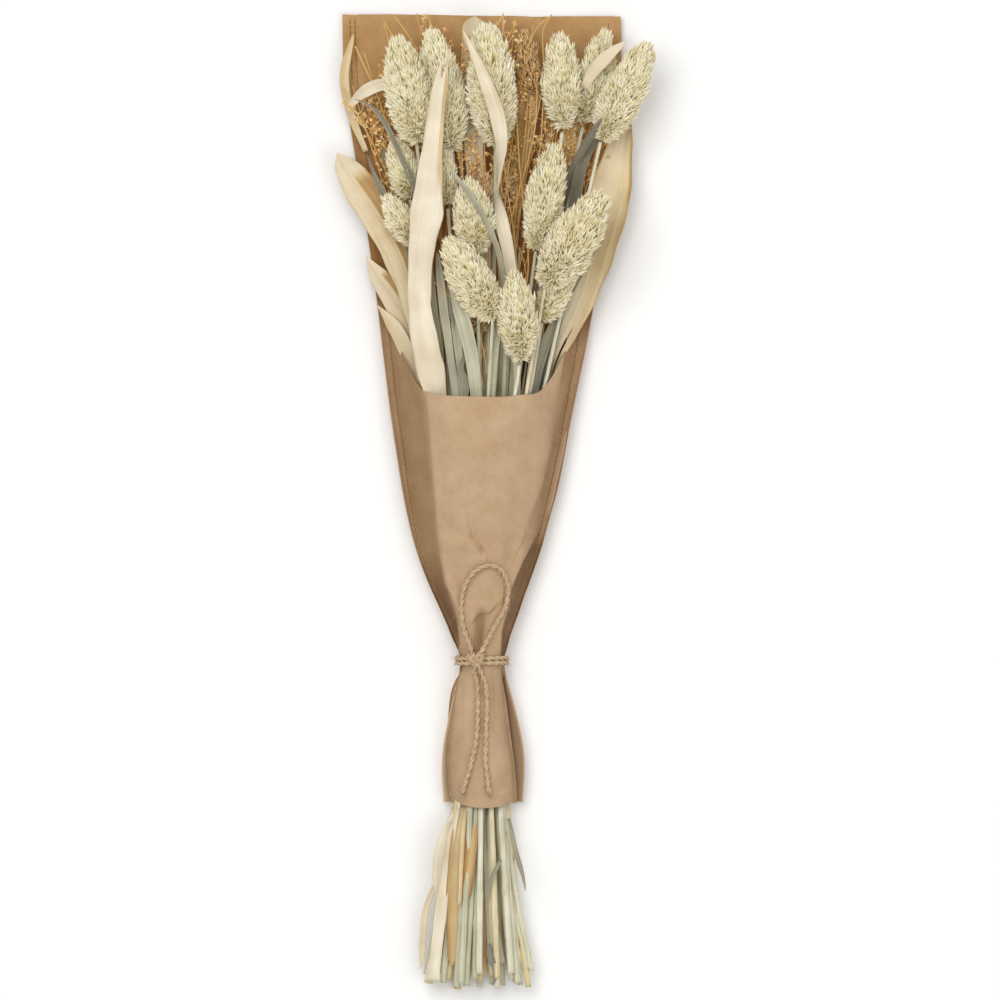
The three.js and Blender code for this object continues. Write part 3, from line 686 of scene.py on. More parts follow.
hairs = []
for line, share in ([(line, BOW_HAIRS) for line in twine_lines.values()]
                    + [(line, TIE_HAIRS) for line in tie_lines]):
    frames = turning_frames(line)
    for _ in range(int(lengths_along(line)[-1] / MM * share)):
        k = hair_random.integers(2, len(line) - 2)
        angle = hair_random.uniform(0, 2 * np.pi)
        out = frames[k][0] * np.cos(angle) + frames[k][1] * np.sin(angle)
        run = out + unit(line[k + 1] - line[k - 1]) * hair_random.uniform(-2.2, 2.2)
        start = line[k] + out * TWINE * 0.38
        if start[2] > LOWEST_HAIR:
            hairs.append(hair(start, run, hair_random.gamma(1.8, 1.9) * MM + 1 * MM,
                              hair_random.uniform(0.09, 0.17) * MM))
for node in ("twine_tail_left", "twine_tail_right"):
    line = twine_lines[node]
    way = unit(line[-1] - line[-6])
    for _ in range(END_THREADS):
        run = way + hair_random.normal(size=3) * (0.32, 0.2, 0.12)
        start = line[-3] + hair_random.normal(size=3) * 0.45 * MM
        hairs.append(hair(start, run, hair_random.uniform(2.0, 6.5) * MM, 0.17 * MM))
finished(mesh_piece("jute_hairs", *together(hairs)), jute)
print(len(hairs), "hairs")

# %% [markdown]
# ## The paper sleeve
# Each sheet starts from its own solid: a copy is merged, its outer face is kept as an open grid,
# and subdivision smooths it with its corners kept. Then the creases are pressed in where the
# photograph shows them, and a thin wall is given to it.

# %% Creases
def beside(points, path):
    """How far each point is to the left of a path, and its share of the way along it."""
    path = np.array(path, dtype=float) * MM
    start = lengths_along(path)
    nearest, share = np.full(len(points), 1.0), np.zeros(len(points))
    for a, b, done in zip(path, path[1:], start):
        run = b - a
        t = np.clip(((points[:, :2] - a) @ run) / (run @ run), 0, 1)
        off = points[:, :2] - a - t[:, None] * run
        away = np.linalg.norm(off, axis=1) * np.sign(run[0] * off[:, 1] - run[1] * off[:, 0])
        closer = np.abs(away) < np.abs(nearest)
        nearest = np.where(closer, away, nearest)
        share = np.where(closer, (done + t * np.linalg.norm(run)) / start[-1], share)
    return nearest / MM, share


def runs_out(share):
    """A crease is at its full height along its middle and lower at both its ends."""
    return np.sin(np.pi * (0.06 + 0.88 * share)) ** 0.6


def fold(points, path, width, height, reach):
    """A folded edge: the paper stands up on the left of the path and falls away on its right."""
    away, share = beside(points, path)
    return height * MM * np.tanh(away / width) * np.exp(-np.abs(away) / reach) * runs_out(share)


def ridge(points, path, width, height):
    """A soft ridge, or a valley where the height is below zero."""
    away, share = beside(points, path)
    return height * MM * np.exp(-(away / width) ** 2) * runs_out(share)


def sheet_copy(node, name, levels):
    """The outer face of a paper solid as a smooth open sheet."""
    deselect()
    copy = bpy.data.objects.new(name, cad[node].data.copy())
    bpy.context.scene.collection.objects.link(copy)
    pick(copy)
    bpy.ops.object.mode_set(mode="EDIT")
    bpy.ops.mesh.select_all(action="SELECT")
    bpy.ops.mesh.remove_doubles(threshold=0.02 * MM)
    bpy.ops.mesh.tris_convert_to_quads(face_threshold=math.radians(60),
                                       shape_threshold=math.radians(60))
    bpy.ops.mesh.select_all(action="DESELECT")
    bpy.ops.object.mode_set(mode="OBJECT")
    middle = min(copy.data.polygons, key=lambda face: (
        abs(face.center[0] + 7 * MM) + abs(face.center[1]) - 40 * face.normal[2] * MM))
    middle.select = True
    bpy.ops.object.mode_set(mode="EDIT")
    bpy.ops.mesh.faces_select_linked_flat(sharpness=math.radians(62))
    bpy.ops.mesh.select_all(action="INVERT")
    bpy.ops.mesh.delete(type="FACE")
    bpy.ops.object.mode_set(mode="OBJECT")
    print(name, len(copy.data.polygons), "faces kept")
    points = points_of(copy)
    corners = [np.argmax(points @ (side, up, 0)) for side in (-1, 1) for up in (-4, 4)]
    sharp = copy.data.attributes.new("crease_vert", "FLOAT", "POINT")
    for corner in corners:
        sharp.data[corner].value = 1.0
    apply_modifier(copy, "SUBSURF", levels=levels, render_levels=levels)
    return copy


def press(piece, folds, ridges, gather, rumple, seed):
    """Moves the sheet's points along its normals: folds, ridges, pleats at the neck, a rumple."""
    points = points_of(piece)
    normals = np.empty(len(points) * 3)
    piece.data.vertices.foreach_get("normal", normals)
    normals = normals.reshape(-1, 3)
    lift = sum(fold(points, *one) for one in folds) + sum(ridge(points, *one) for one in ridges)
    away = np.abs(points[:, 1] - NECK)
    angle = np.arctan2(points[:, 0] - wrap_middle[0], away + 16 * MM)
    near = np.exp(-away / (24 * MM)) * ramp(away, 3 * MM, 12 * MM)
    lift = lift + gather * MM * near * np.sin(15 * angle + 2.2 * np.sin(3 * angle))
    wave = np.random.default_rng(seed).uniform(0, 6, 4)
    x, y = points[:, 0] / MM, points[:, 1] / MM
    soft = (np.sin(x / 9 + y / 31 + wave[0]) + np.sin(x / 14 - y / 19 + wave[1])
            + 0.7 * np.sin(x / 5.5 + y / 12 + wave[2]) + 0.5 * np.sin(y / 7 - x / 21 + wave[3]))
    lift = lift + rumple * MM * soft * ramp(away, 6 * MM, 36 * MM)
    move_points(piece, points + normals * lift[:, None])
    print(piece.name, "creases:", round(lift.min() / MM, 1), "to", round(lift.max() / MM, 1), "mm")


NECK = -89.6 * MM
PAPER_THICK = 0.25 * MM
FRONT_FOLDS = [     # path, width of the edge, height, how far the lift reaches
    ([(-38.3, 53.6), (-36, 28.4), (-34.4, 8.8), (-32.1, -16.4), (-30.4, -30), (-27.5, -45),
      (-24.8, -53.3), (-20.4, -66.8), (-19.6, -80)], 1.2, 3.6, 5.5),
    ([(17.7, -16.4), (21.1, -8), (27.2, 8.8), (31.7, 28.4), (34.5, 50.8)], 3.0, 4.2, 8.0),
    ([(3.7, -86), (3.9, -73.5), (8.0, -60), (9.2, -49.4), (16, -34), (23.5, -21)], 0.9, 3.6, 4.5),
    ([(-5.2, -31.5), (-8.6, -27), (-12.5, -23.6), (-20.4, -22.5)], 0.9, 3.4, 4.0),
    ([(-5.2, -31.5), (-6.6, -26.5), (-9.6, -24.6)], 0.8, -2.2, 2.6),
    ([(-18.1, -56.7), (-22, -50), (-23.7, -41)], 1.0, 2.2, 3.2),
    ([(-26, -47), (-22.6, -51), (-20.4, -58)], 1.0, 1.8, 3.0),
    ([(-21.2, -56), (-20.3, -70), (-19.2, -82)], 0.8, 1.2, 2.6),
    ([(2.6, -83), (3.9, -68), (4.6, -50)], 0.8, 1.3, 2.6),
    ([(-13.5, -70), (-9, -64), (-3, -63), (2.5, -57)], 0.7, 1.4, 3.2),
    ([(-9.4, -82), (-8.6, -74), (-6.0, -68)], 0.7, 1.3, 2.6),
    ([(-20, -97), (-22.2, -112), (-22.4, -128)], 0.9, 1.1, 3.6),
    ([(0.4, -120), (0.2, -108), (-1.0, -97)], 1.0, 1.0, 3.6)]
FRONT_RIDGES = [    # path, width, height
    ([(-13.6, -8), (-11.6, -18), (-10.3, -25)], 1.8, 1.9),
    ([(-8.0, -62), (-10.4, -84)], 2.6, -1.8), ([(-15.9, -98), (-14.8, -134)], 2.2, 0.9),
    ([(-2, -100), (2, -145)], 2.6, -0.8), ([(-26, 50), (-20, 18)], 5.0, 0.7),
    ([(4, 52), (8, 14)], 7.0, -0.9), ([(-4, -6), (6, -34)], 4.5, 0.9),
    ([(12, -20), (4, -44)], 3.6, -1.0), ([(-19, 6), (-22, -34)], 4.2, -0.8),
    ([(-27, -20), (-24, -44)], 2.4, 0.8), ([(-6, -146), (-14, -166)], 3.0, -0.6),
    ([(7, -140), (9, -166)], 2.5, 0.7), ([(10, 60), (30, 52)], 3.0, 0.8)]
BACK_FOLDS = [([(-76.4, 274), (-74.2, 200), (-66, 120)], 0.8, 0.5, 4.0),
              ([(57, 120), (64, 200), (67.6, 272)], 0.8, 0.5, 4.0)]
BACK_RIDGES = [
    ([(-60, 270), (-48, 215)], 4, 0.6), ([(10, 270), (26, 262), (40, 245)], 3.0, 1.0),
    ([(22, 273), (36, 266)], 2.0, -0.8), ([(-70, 200), (-62, 120)], 4, -0.5),
    ([(60, 190), (48, 110)], 4, 0.5), ([(-30, 262), (-6, 250)], 5, 0.5),
    ([(46, 268), (60, 236)], 3.5, -0.6)]

# %% [markdown]
# Below the neck the front is a narrow panel with the back's sides standing out beside it, so the
# front's grid is drawn in there. Its foot is cut in a soft curve and hangs a little lower, and its
# mouth dips in the middle.

# %% The panel below the neck
def panel_edges(y):
    """Where the front's left and right edges lie below the neck."""
    rows = [-172, -164, -146, -124, -107, -94]
    left = np.interp(y / MM, rows, [-23.2, -25.0, -26.6, -26.0, -23.8, -19.6]) * MM
    right = np.interp(y / MM, rows, [12.3, 12.3, 11.2, 8.4, 6.3, 4.4]) * MM
    return left, right


def shape_front(piece):
    points = points_of(piece)
    x, y = points[:, 0], points[:, 1]
    rows = np.round(y / (0.5 * MM)).astype(int)
    wide = {}
    for row in np.unique(rows):
        own = np.abs(rows - row) <= 6
        wide[row] = x[own].min(), x[own].max()
    low, high = np.transpose([wide[row] for row in rows])
    share = ramp(x, low, high)
    left, right = panel_edges(y)
    x = x + ramp(-y, 94 * MM, 100 * MM) * (left + share * (right - left) - x)
    middle = 1 - (2 * share - 1) ** 2
    y = y - 3.2 * MM * ramp(-y, 150 * MM, 169 * MM) * middle
    y = y - 2.4 * MM * ramp(y, 40 * MM, 60 * MM) * middle ** 2
    move_points(piece, np.stack([x, y, points[:, 2]], axis=1))


def shape_back(piece):
    """The top edge falls a little to the right, and waves."""
    points = points_of(piece)
    up = ramp(points[:, 1], 235 * MM, 273 * MM)
    share = (points[:, 0] + 85 * MM) / (157 * MM)
    wave = 0.5 + 0.5 * np.sin(share * 11 + 1.0)
    points[:, 1] -= up * (1.6 * share + 0.5 * wave) * MM
    points[:, 2] += up * 1.2 * MM * (0.5 + 0.5 * np.sin(share * 8 + 2))
    move_points(piece, points)


front_paper = sheet_copy("paper_front", "kraft_front", 4)
shape_front(front_paper)
press(front_paper, FRONT_FOLDS, FRONT_RIDGES, 0.8, 0.16, 3)
apply_modifier(front_paper, "DECIMATE", ratio=0.72)
back_paper = sheet_copy("paper_back", "kraft_back", 3)
shape_back(back_paper)
press(back_paper, BACK_FOLDS, BACK_RIDGES, 0.2, 0.08, 9)

# %% Where the paper lies in shade
points = points_of(front_paper)
y = points[:, 1] / MM
left_band, _ = beside(points, [(-39, 62), *FRONT_FOLDS[0][0], (-22, -92)])
right_band, _ = beside(points, [(5, -92), (10.4, -65.6), (19, -20), (27.2, 8.8), (36, 62)])
right_fold, _ = beside(points, FRONT_FOLDS[2][0])
gathered, _ = beside(points, [(-7, -62), (-10, -86)])
# band is painted shade where the sleeve's sides turn away from the light, and the paper there is
# also browner; neck is painted shade in the folds and gathers above the tie.
band = ramp(-left_band, -2, 2.5) + ramp(-right_band, -3, 6)
neck = (ramp(-left_band, -0.6, 1) * ramp(-y, 28, 54)
        + ramp(-right_fold, -0.5, 0.6) * ramp(-y, 19, 26)
        + 1.4 * np.exp(-(gathered / 3.2) ** 2) * ramp(-y, 56, 66))
note(front_paper, "band", np.clip(band, 0, 1) * ramp(y, NECK / MM, NECK / MM + 12))
note(front_paper, "neck", np.clip(neck, 0, 1) * (y > NECK / MM))
x, y = points_of(back_paper)[:, :2].T / MM
# The left flap below the tie gets the paper's paler outside colour as painted light; the right flap
# keeps the darker inside brown as painted shade.
note(back_paper, "flap_outside_lit", np.where(x < -7, 0.8, 0.0) * ramp(-y, -NECK / MM, 10 - NECK / MM))
# painted shade: the back's inside darkened along its left side, from a little above the mouth to
# below the top edge.
note(back_paper, "upper_left_shade", 0.7 * ramp(-x, 44, 56) * ramp(-y, -236, -200) * ramp(y, 96, 126))
note(back_paper, "margin", ramp(-y, -85, -55))
# painted shade: between the mouth and the flowers the inside of the sleeve is darkened to a warm
# orange, as light bounced off the paper would make it.
note(back_paper, "pocket_warm_shade", 0.8 * ramp(-y, -228, -148) * ramp(y, 55, 80))
for sheet in (front_paper, back_paper):
    sheet.data.materials.clear()
    apply_modifier(sheet, "SOLIDIFY", thickness=PAPER_THICK, offset=-1)
    bpy.ops.object.shade_smooth_by_angle(angle=math.radians(40))


# %% The finish of kraft paper
def kraft_finish(name, light, deep, fibre, kind, tones):
    """Unbleached paper; tones are colours for the noted parts of the sheet, mixed in one way,
    several of them painted shade or painted light.
    """
    finish, tree = new_finish(name, 0.2)
    effect = socket(tree, "Group", node_tree=PULP)
    tree.links.new(place_of(tree), effect.inputs["Place"])
    colour = blend(tree, effect.outputs["Cloud"], paint(light), paint(deep))
    strength = spread_out(tree, effect.outputs["Fibres"], 0, 1, 0, 0.42)
    colour = blend(tree, strength, colour, paint(fibre))
    for label, tone in tones.items():
        colour = blend(tree, note_of(tree, label), colour, paint(tone), kind)
    tooth = effect.outputs["Tooth"]
    wire_up(tree, colour, spread_out(tree, tooth, 0, 1, 0.7, 0.86), tooth, 0.35, 0.12)
    return finish


# band and neck darken the outside as painted shade, and band also gives the sides their browner
# paper.
kraft_outside = kraft_finish("kraft_outside", "c4a887", "b29371", "8d6c49", "MULTIPLY",
                             {"band": "d4cbbd", "neck": "c9c0ba"})
# Of the inside tones, the warm tone low in the sleeve and the dark tone on the left are painted
# shade, and the flap tone is partly painted light.
kraft_inside = kraft_finish(
    "kraft_inside", "c39d6d", "b08655", "85603a", "MIX",
    {"pocket_warm_shade": "b0733c", "upper_left_shade": "8d6a44", "margin": "b09273", "flap_outside_lit": "d6c0a2"})
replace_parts(finished(front_paper, kraft_outside), "paper_front")
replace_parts(finished(back_paper, kraft_inside), "paper_back")

# %% [markdown]
# ## The grass heads
# A canary-grass head is many hundred spikelets, each held in two boat-shaped glumes with a keel
# and a point. They overlap like tiles and lean towards the tip. One glume is drawn up from a
# circle, and its copies stand in a spiral with the golden angle, as on the plant, round a core.

# %% One spikelet: two glumes that part at their tips
def tilted(form, angle, shift):
    """A form leaned over to one side about its root."""
    points, corners, sizes = form
    turn = np.array([[math.cos(angle), 0, -math.sin(angle)], [0, 1, 0],
                     [math.sin(angle), 0, math.cos(angle)]])
    return points @ turn + [shift, 0, 0], corners, sizes


glume = form_of(drawn_up("glume", 4, [
    (0.0, 0.05, 0.035, 0.0), (0.42, 0.145, 0.09, 0.02), (1.0, 0.006, 0.006, -0.02)]))
spikelet = together([tilted(glume, 0.16, 0.03), tilted(glume, -0.16, -0.03)])
print("spikelet:", len(spikelet[2]), "faces")

GOLDEN = math.pi * (3 - math.sqrt(5))


def head_outline(t):
    """Radius of a head from base to tip, as a share of its greatest."""
    return np.sin(np.pi * np.clip(t, 0.012, 0.985) ** 0.78) ** 0.62


def spikelets(base, tip, width, count, size, random, splay=(0.98, 0.42)):
    """Copies of the spikelet round the line from base to tip, each with its tint and how far up
    it each point is."""
    axis = unit(tip - base)
    long = np.linalg.norm(tip - base)
    across = unit(np.cross(axis, [0, 0, 1]))
    out = np.cross(across, axis)
    fine = np.linspace(0, 1, 400)
    area = np.cumsum(head_outline(fine) + 0.12)
    t = np.interp((np.arange(count) + 0.5) / count * area[-1], area, fine) * 0.95
    angle = GOLDEN * np.arange(count) + random.normal(0, 0.12, count)
    radial = np.outer(np.cos(angle), across) + np.outer(np.sin(angle), out)
    around = np.cross(axis, radial)
    slope = (head_outline(t + 0.02) - head_outline(t - 0.02)) * width / 2 / (0.04 * long)
    surface = units(axis + radial * np.clip(slope, -1.2, 1.2)[:, None])
    lean = np.interp(t, [0, 1], splay) + random.normal(0, 0.25, count)
    normal = np.cross(around, surface)
    normal *= np.sign(np.sum(normal * radial, axis=1))[:, None]
    run = surface * np.cos(lean)[:, None] + normal * np.sin(lean)[:, None]
    run = units(run + around * random.normal(0, 0.16, count)[:, None])
    sizes = size * random.uniform(0.75, 1.3, count)
    sizes = sizes * np.interp(t, [0, 0.15, 0.8, 1], [0.8, 1, 1, 0.9])
    lump = 1 + (0.05 * np.sin(3 * angle + 11 * t + 40 * width / MM)
                + 0.04 * np.sin(5 * angle - 17 * t))
    reach = width / 2 * head_outline(t) * lump - sizes * np.sin(lean) * 0.9
    reach += random.normal(0, 1, count) * np.interp(t, [0, 0.6, 1], [0.5, 0.55, 1.1]) * MM
    root = base + np.outer(t * long, axis) + radial * np.maximum(reach, 0.2 * MM)[:, None]
    root -= surface * (sizes * 0.35)[:, None] * np.interp(t, [0, 0.3], [0, 1])[:, None]
    wide = units(np.cross(run, normal))
    deep = np.cross(run, wide)
    roll = random.normal(0, 0.8, count)
    turned = wide * np.cos(roll)[:, None] + deep * np.sin(roll)[:, None]
    turns = np.stack([turned, np.cross(run, turned), run], axis=2) * sizes[:, None, None]
    made = many(spikelet, turns, root)
    up_glume = np.tile(spikelet[0][:, 2], count)
    tint = np.repeat(np.clip(random.normal(0.5, 0.26, count), 0, 1), len(spikelet[0]))
    return made, tint, up_glume


CORE_DEPTH = 3.2 * MM            # how far the core lies below the outline


def core_form(base, tip, width):
    """The dark middle that the spikelets stand on."""
    t = np.linspace(0.0, 0.97, 14)
    line = base + np.outer(t, tip - base)
    radii = np.maximum(width / 2 * head_outline(t) - CORE_DEPTH, 0.5 * MM)
    return rod_form(line, radii, round_section(12))


# %% The finish of the heads
def glume_finish(name, root_green_and_shade, stops, blotch):
    """Pale papery glumes: greener at the root, and darker there as painted shade deep in the head;
    near white at the point as painted light through the thin glumes.
    """
    finish, tree = new_finish(name, 0.2)
    cloud = socket(tree, "TexNoise", place_of(tree), Scale=70, Detail=2).outputs[0]
    grain = socket(tree, "TexNoise", place_of(tree), Scale=2400, Detail=2).outputs[0]
    colour = colour_ramp(tree, note_of(tree, "tint"), stops)
    # painted shade: the glumes darken towards their roots, deep in the head, and their pale points
    # stand in for light through the thin glumes.
    root = spread_out(tree, note_of(tree, "reach"), 0.12, 0.8, 0.95, 0)
    colour = blend(tree, root, colour, paint(root_green_and_shade))
    patch = spread_out(tree, cloud, 0.35, 0.7, 0, 0.35)
    colour = blend(tree, patch, colour, paint(blotch), "MULTIPLY")
    wire_up(tree, colour, spread_out(tree, grain, 0.3, 0.7, 0.6, 0.85), grain, 0.4, 0.15)
    return finish


head_finish = glume_finish("canary_glumes", "c4b97f",
                           [(0.0, "f0e8c6"), (0.5, "f9f1d8"), (1.0, "fffaea")], "ece4bb")
spike_finish = glume_finish("tan_glumes", "b98c4e",
                            [(0.0, "dfba7e"), (0.5, "edd3a2"), (1.0, "f7e6c2")], "dab277")


# %% Every head on its own axis
def axis_of(points):
    """Base, tip and greatest width of a long solid."""
    middle = (points.max(axis=0) + points.min(axis=0)) / 2
    spread = points - points.mean(axis=0)
    axis = np.linalg.svd(spread, full_matrices=False)[2][0]
    axis = axis if axis[1] > 0 else -axis
    along = (points - middle) @ axis
    away = np.linalg.norm(points - middle - np.outer(along, axis), axis=1)
    return middle + axis * along.min(), middle + axis * along.max(), 2 * away.max()


HEAD_AREA = 22 * 55 * MM ** 2    # a head of this area has HEAD_COUNT spikelets
HEAD_COUNT = 1120
SPIKELET = 6.0 * MM
# the core gets most of the root colour, with its painted shade.
CORE_TINT, CORE_REACH = 0.0, 0.3
head_random = np.random.default_rng(21)
heads = sorted(name for name in cad if name.startswith("head_"))
for name in heads:
    base, tip, width = axis_of(points_of(cad[name]))
    size = SPIKELET * np.interp(width / MM, [10, 26], [0.78, 1.05])
    count = int(HEAD_COUNT * (width * np.linalg.norm(tip - base) / HEAD_AREA) ** 0.85)
    glumes, tint, up_glume = spikelets(base, tip, width, count, size, head_random)
    core = core_form(base, tip, width)
    piece = mesh_piece("grass_" + name, *together([glumes, core]), smooth=False)
    for label, values, of_core in (("tint", tint, CORE_TINT), ("reach", up_glume, CORE_REACH)):
        note(piece, label, np.concatenate([values, np.full(len(core[0]), of_core)]))
    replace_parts(finished(piece, head_finish), name)
    print(name, count, "spikelets,", round(width / MM), "mm wide")

# %% [markdown]
# ## The stems
# Each stem is a stalk in its dried leaf sheath: lengthwise ribs, a swollen joint with a brown
# ring, and a sheath that ends above it. The rod follows its solid's middle line, with a ribbed
# section.

# %% Ribbed rods along the stems
RIBS = 14
RING_STEP = 2.4 * MM
rib_angles = 2 * np.pi * np.arange(RIBS) / RIBS
stem_random = np.random.default_rng(8)


def stalk_form(line, radii, tint):
    """A stalk in its leaf sheath: flat ribs, a joint with a brown ring, the sheath's loose edge."""
    long = lengths_along(line)
    places = np.linspace(0, long[-1], int(long[-1] / RING_STEP))
    centre = at_each(line, line, places)
    radii = smoothed(np.interp(places, long, radii), 6)
    joint = np.argmin(np.abs(centre[:, 1] - stem_random.uniform(-246, -186) * MM))
    sheath_end = joint + stem_random.integers(18, 46)
    flat, opening = stem_random.uniform(0.04, 0.24), stem_random.integers(0, RIBS)
    along = np.arange(len(places))
    swell = np.exp(-((along - joint) / 0.9) ** 2)
    radii = radii * (1 + 0.17 * swell)
    radii[sheath_end:] *= 0.92
    shade = np.clip(tint + 0.03 * np.sin(along / 9.0 + opening), 0, 0.84)
    ring = swell * stem_random.choice([0.1, 0.1, 0.45, 0.85])
    shade = shade * (1 - ring) + ring

    def section(k):
        lapped = 0.10 * (((np.arange(RIBS) - opening) % RIBS) / RIBS) * (k < sheath_end)
        return rib_angles, (1 + 0.04 * np.cos(RIBS / 2 * rib_angles) + lapped
                            + flat * np.cos(2 * rib_angles + k * 0.006))

    return rod_form(centre, radii, section), np.repeat(shade, RIBS)


def stem_parts(node, stop, tint):
    """The stalk that follows a solid from its cut end up to where y is stop."""
    line, _, widths = follow(node, STEM_REACH, stop)
    return stalk_form(line, np.minimum(widths, np.median(widths) * 1.3) / 2, tint)


stems = sorted(name for name in cad if name.startswith("stem_"))
for name in stems:
    form, shade = stem_parts(name, 1.0, stem_random.choice([0.1, 0.3, 0.5, 0.55, 0.6, 0.75]))
    piece = mesh_piece("dry_" + name, *form)
    note(piece, "tint", shade)
    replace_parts(finished(piece, stem_finish), name)
print(len(stems), "stems")

# %% [markdown]
# A hand-tied bunch also holds stalks that carry no head any more. They fill the sleeve from the cut
# ends to the mouth, so they are made the same way, on lines that pass through the tie.

# %% Stalks without heads
LOOSE_STALKS = 36
for k in range(LOOSE_STALKS):
    share = 2 * (k + 0.5) / LOOSE_STALKS - 1
    mixed = np.clip(share + stem_random.normal(0, 0.22), -1, 1)
    foot = np.clip(1.15 * share + stem_random.normal(0, 0.34), -1.3, 1.15)
    high = stem_random.uniform(0.15, 1) * (1 - 0.6 * abs(mixed))
    top = stem_random.uniform(88, 150)
    route = [(-6.5 + 24.5 * foot, stem_random.uniform(-273, -258), 6 + 22 * high),
             (-7 + 10 * foot + 8 * share, -215, 6 + 21 * high),
             (-7 + 14 * share, -165, 6 + 20 * high),
             (-7 + 9 * share, -120, 7 + 17 * high), (-6.9 + 7.5 * share, -90, 8.5 + 15 * high),
             (-7 + 10 * mixed, -50, 7 + 19 * high), (-6.5 + 18 * mixed, 0, 6 + 25 * high),
             (-6 + 28 * mixed, 60, 8 + 31 * high), (-5 + 33 * mixed, top, 10 + 22 * high)]
    line = eased(route, 3 * MM)
    thick = stem_random.choice([0.7, 0.9, 1.2, 1.5, 2.0])
    radii = np.interp(line[:, 1] / MM, [-270, -165, -90, -20, 60, top - 12, top],
                      [thick, thick, 1.1, 1.2, thick, thick * 0.75, 0.5]) * MM
    tint = stem_random.choice([0.0, 0.25, 0.4, 0.5, 0.6, 0.7, 0.84])
    form, shade = stalk_form(line, radii, tint)
    piece = mesh_piece(f"loose_stalk_{k + 1}", *form)
    note(piece, "tint", shade)
    finished(piece, stem_finish)
print(LOOSE_STALKS, "stalks without heads")

# %% [markdown]
# ## The small spikes
# Three thin heads of a finer grass, tan from top to cut end. Each is one solid, so its piece holds
# the stem and the glumes. SPIKES gives where, along the bouquet, each head starts.

# %% Spikes
SPIKES = {"spike_centre": 144 * MM, "spike_low": 93.4 * MM, "spike_top": 224.4 * MM}
for name, start in SPIKES.items():
    points = points_of(cad[name])
    base, tip, width = axis_of(points[points[:, 1] > start - 2 * MM])
    glumes, tint, up_glume = spikelets(base, tip, width, 260, 4.4 * MM, head_random, (0.5, 0.25))
    form, shade = stem_parts(name, start + 4 * MM, 1.0)
    piece = mesh_piece("tan_" + name, *together([glumes, form]))
    note(piece, "tint", np.concatenate([tint, shade * 0.4]))
    note(piece, "reach", np.concatenate([up_glume, np.full(len(shade), 0.8)]))
    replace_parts(finished(piece, spike_finish), name)

# %% [markdown]
# ## Leaves and blades
# The pale leaves are like maize husk: thin, ribbed lengthwise, with soft flutes, curled edges and
# torn tips. The blades are narrow, grey-green and folded. Each is a grid that is laid along its
# solid: across the grid goes across the leaf, along it goes from root to tip.

# %% A ribbon along a line
leaf_random = np.random.default_rng(33)
LEAF_THICK = 0.2 * MM
LEAF_ROW = 2.0 * MM
SHEET_END = -168 * MM            # the lowest y at which the front sheet is sure to be found


def between(places, known):
    """Read off at places: known is a list of (place, value), or one value for all of them."""
    return np.interp(places, *np.transpose(((0, known),) if np.isscalar(known) else known))


def within(points):
    """The points kept above the floor and, at the sides and ends, inside the solids' box."""
    gap = 0.3 * MM
    low = (cad_low[0] + gap, cad_low[1] + gap, 1.2 * MM)
    high = (cad_high[0] - gap, cad_high[1] - gap, np.inf)
    return np.clip(points, low, high)


def drop(sheet, x, y):
    """Where a ray from above meets a sheet: whether it does, the place and the normal."""
    return sheet.ray_cast(Vector((x, y, 0.2)), Vector((0, 0, -1)))[:3]


def under_sheet(points):
    """At the foot, the points stay below the front sheet and rise again gently beyond it."""
    for k in np.flatnonzero((points[:, 1] < -120 * MM) & (points[:, 1] > -200 * MM)):
        x, y, z = points[k]
        row = max(y, SHEET_END)
        left, right = panel_edges(row)
        hit, place, _ = drop(front_paper, min(max(x, left + 1 * MM), right - 1 * MM), row)
        if hit:
            limit = place[2] - 1.5 * MM + 1.6 * max(0.0, -173 * MM - y)
            points[k, 2] = min(z, max(limit, 2 * MM))
    return points


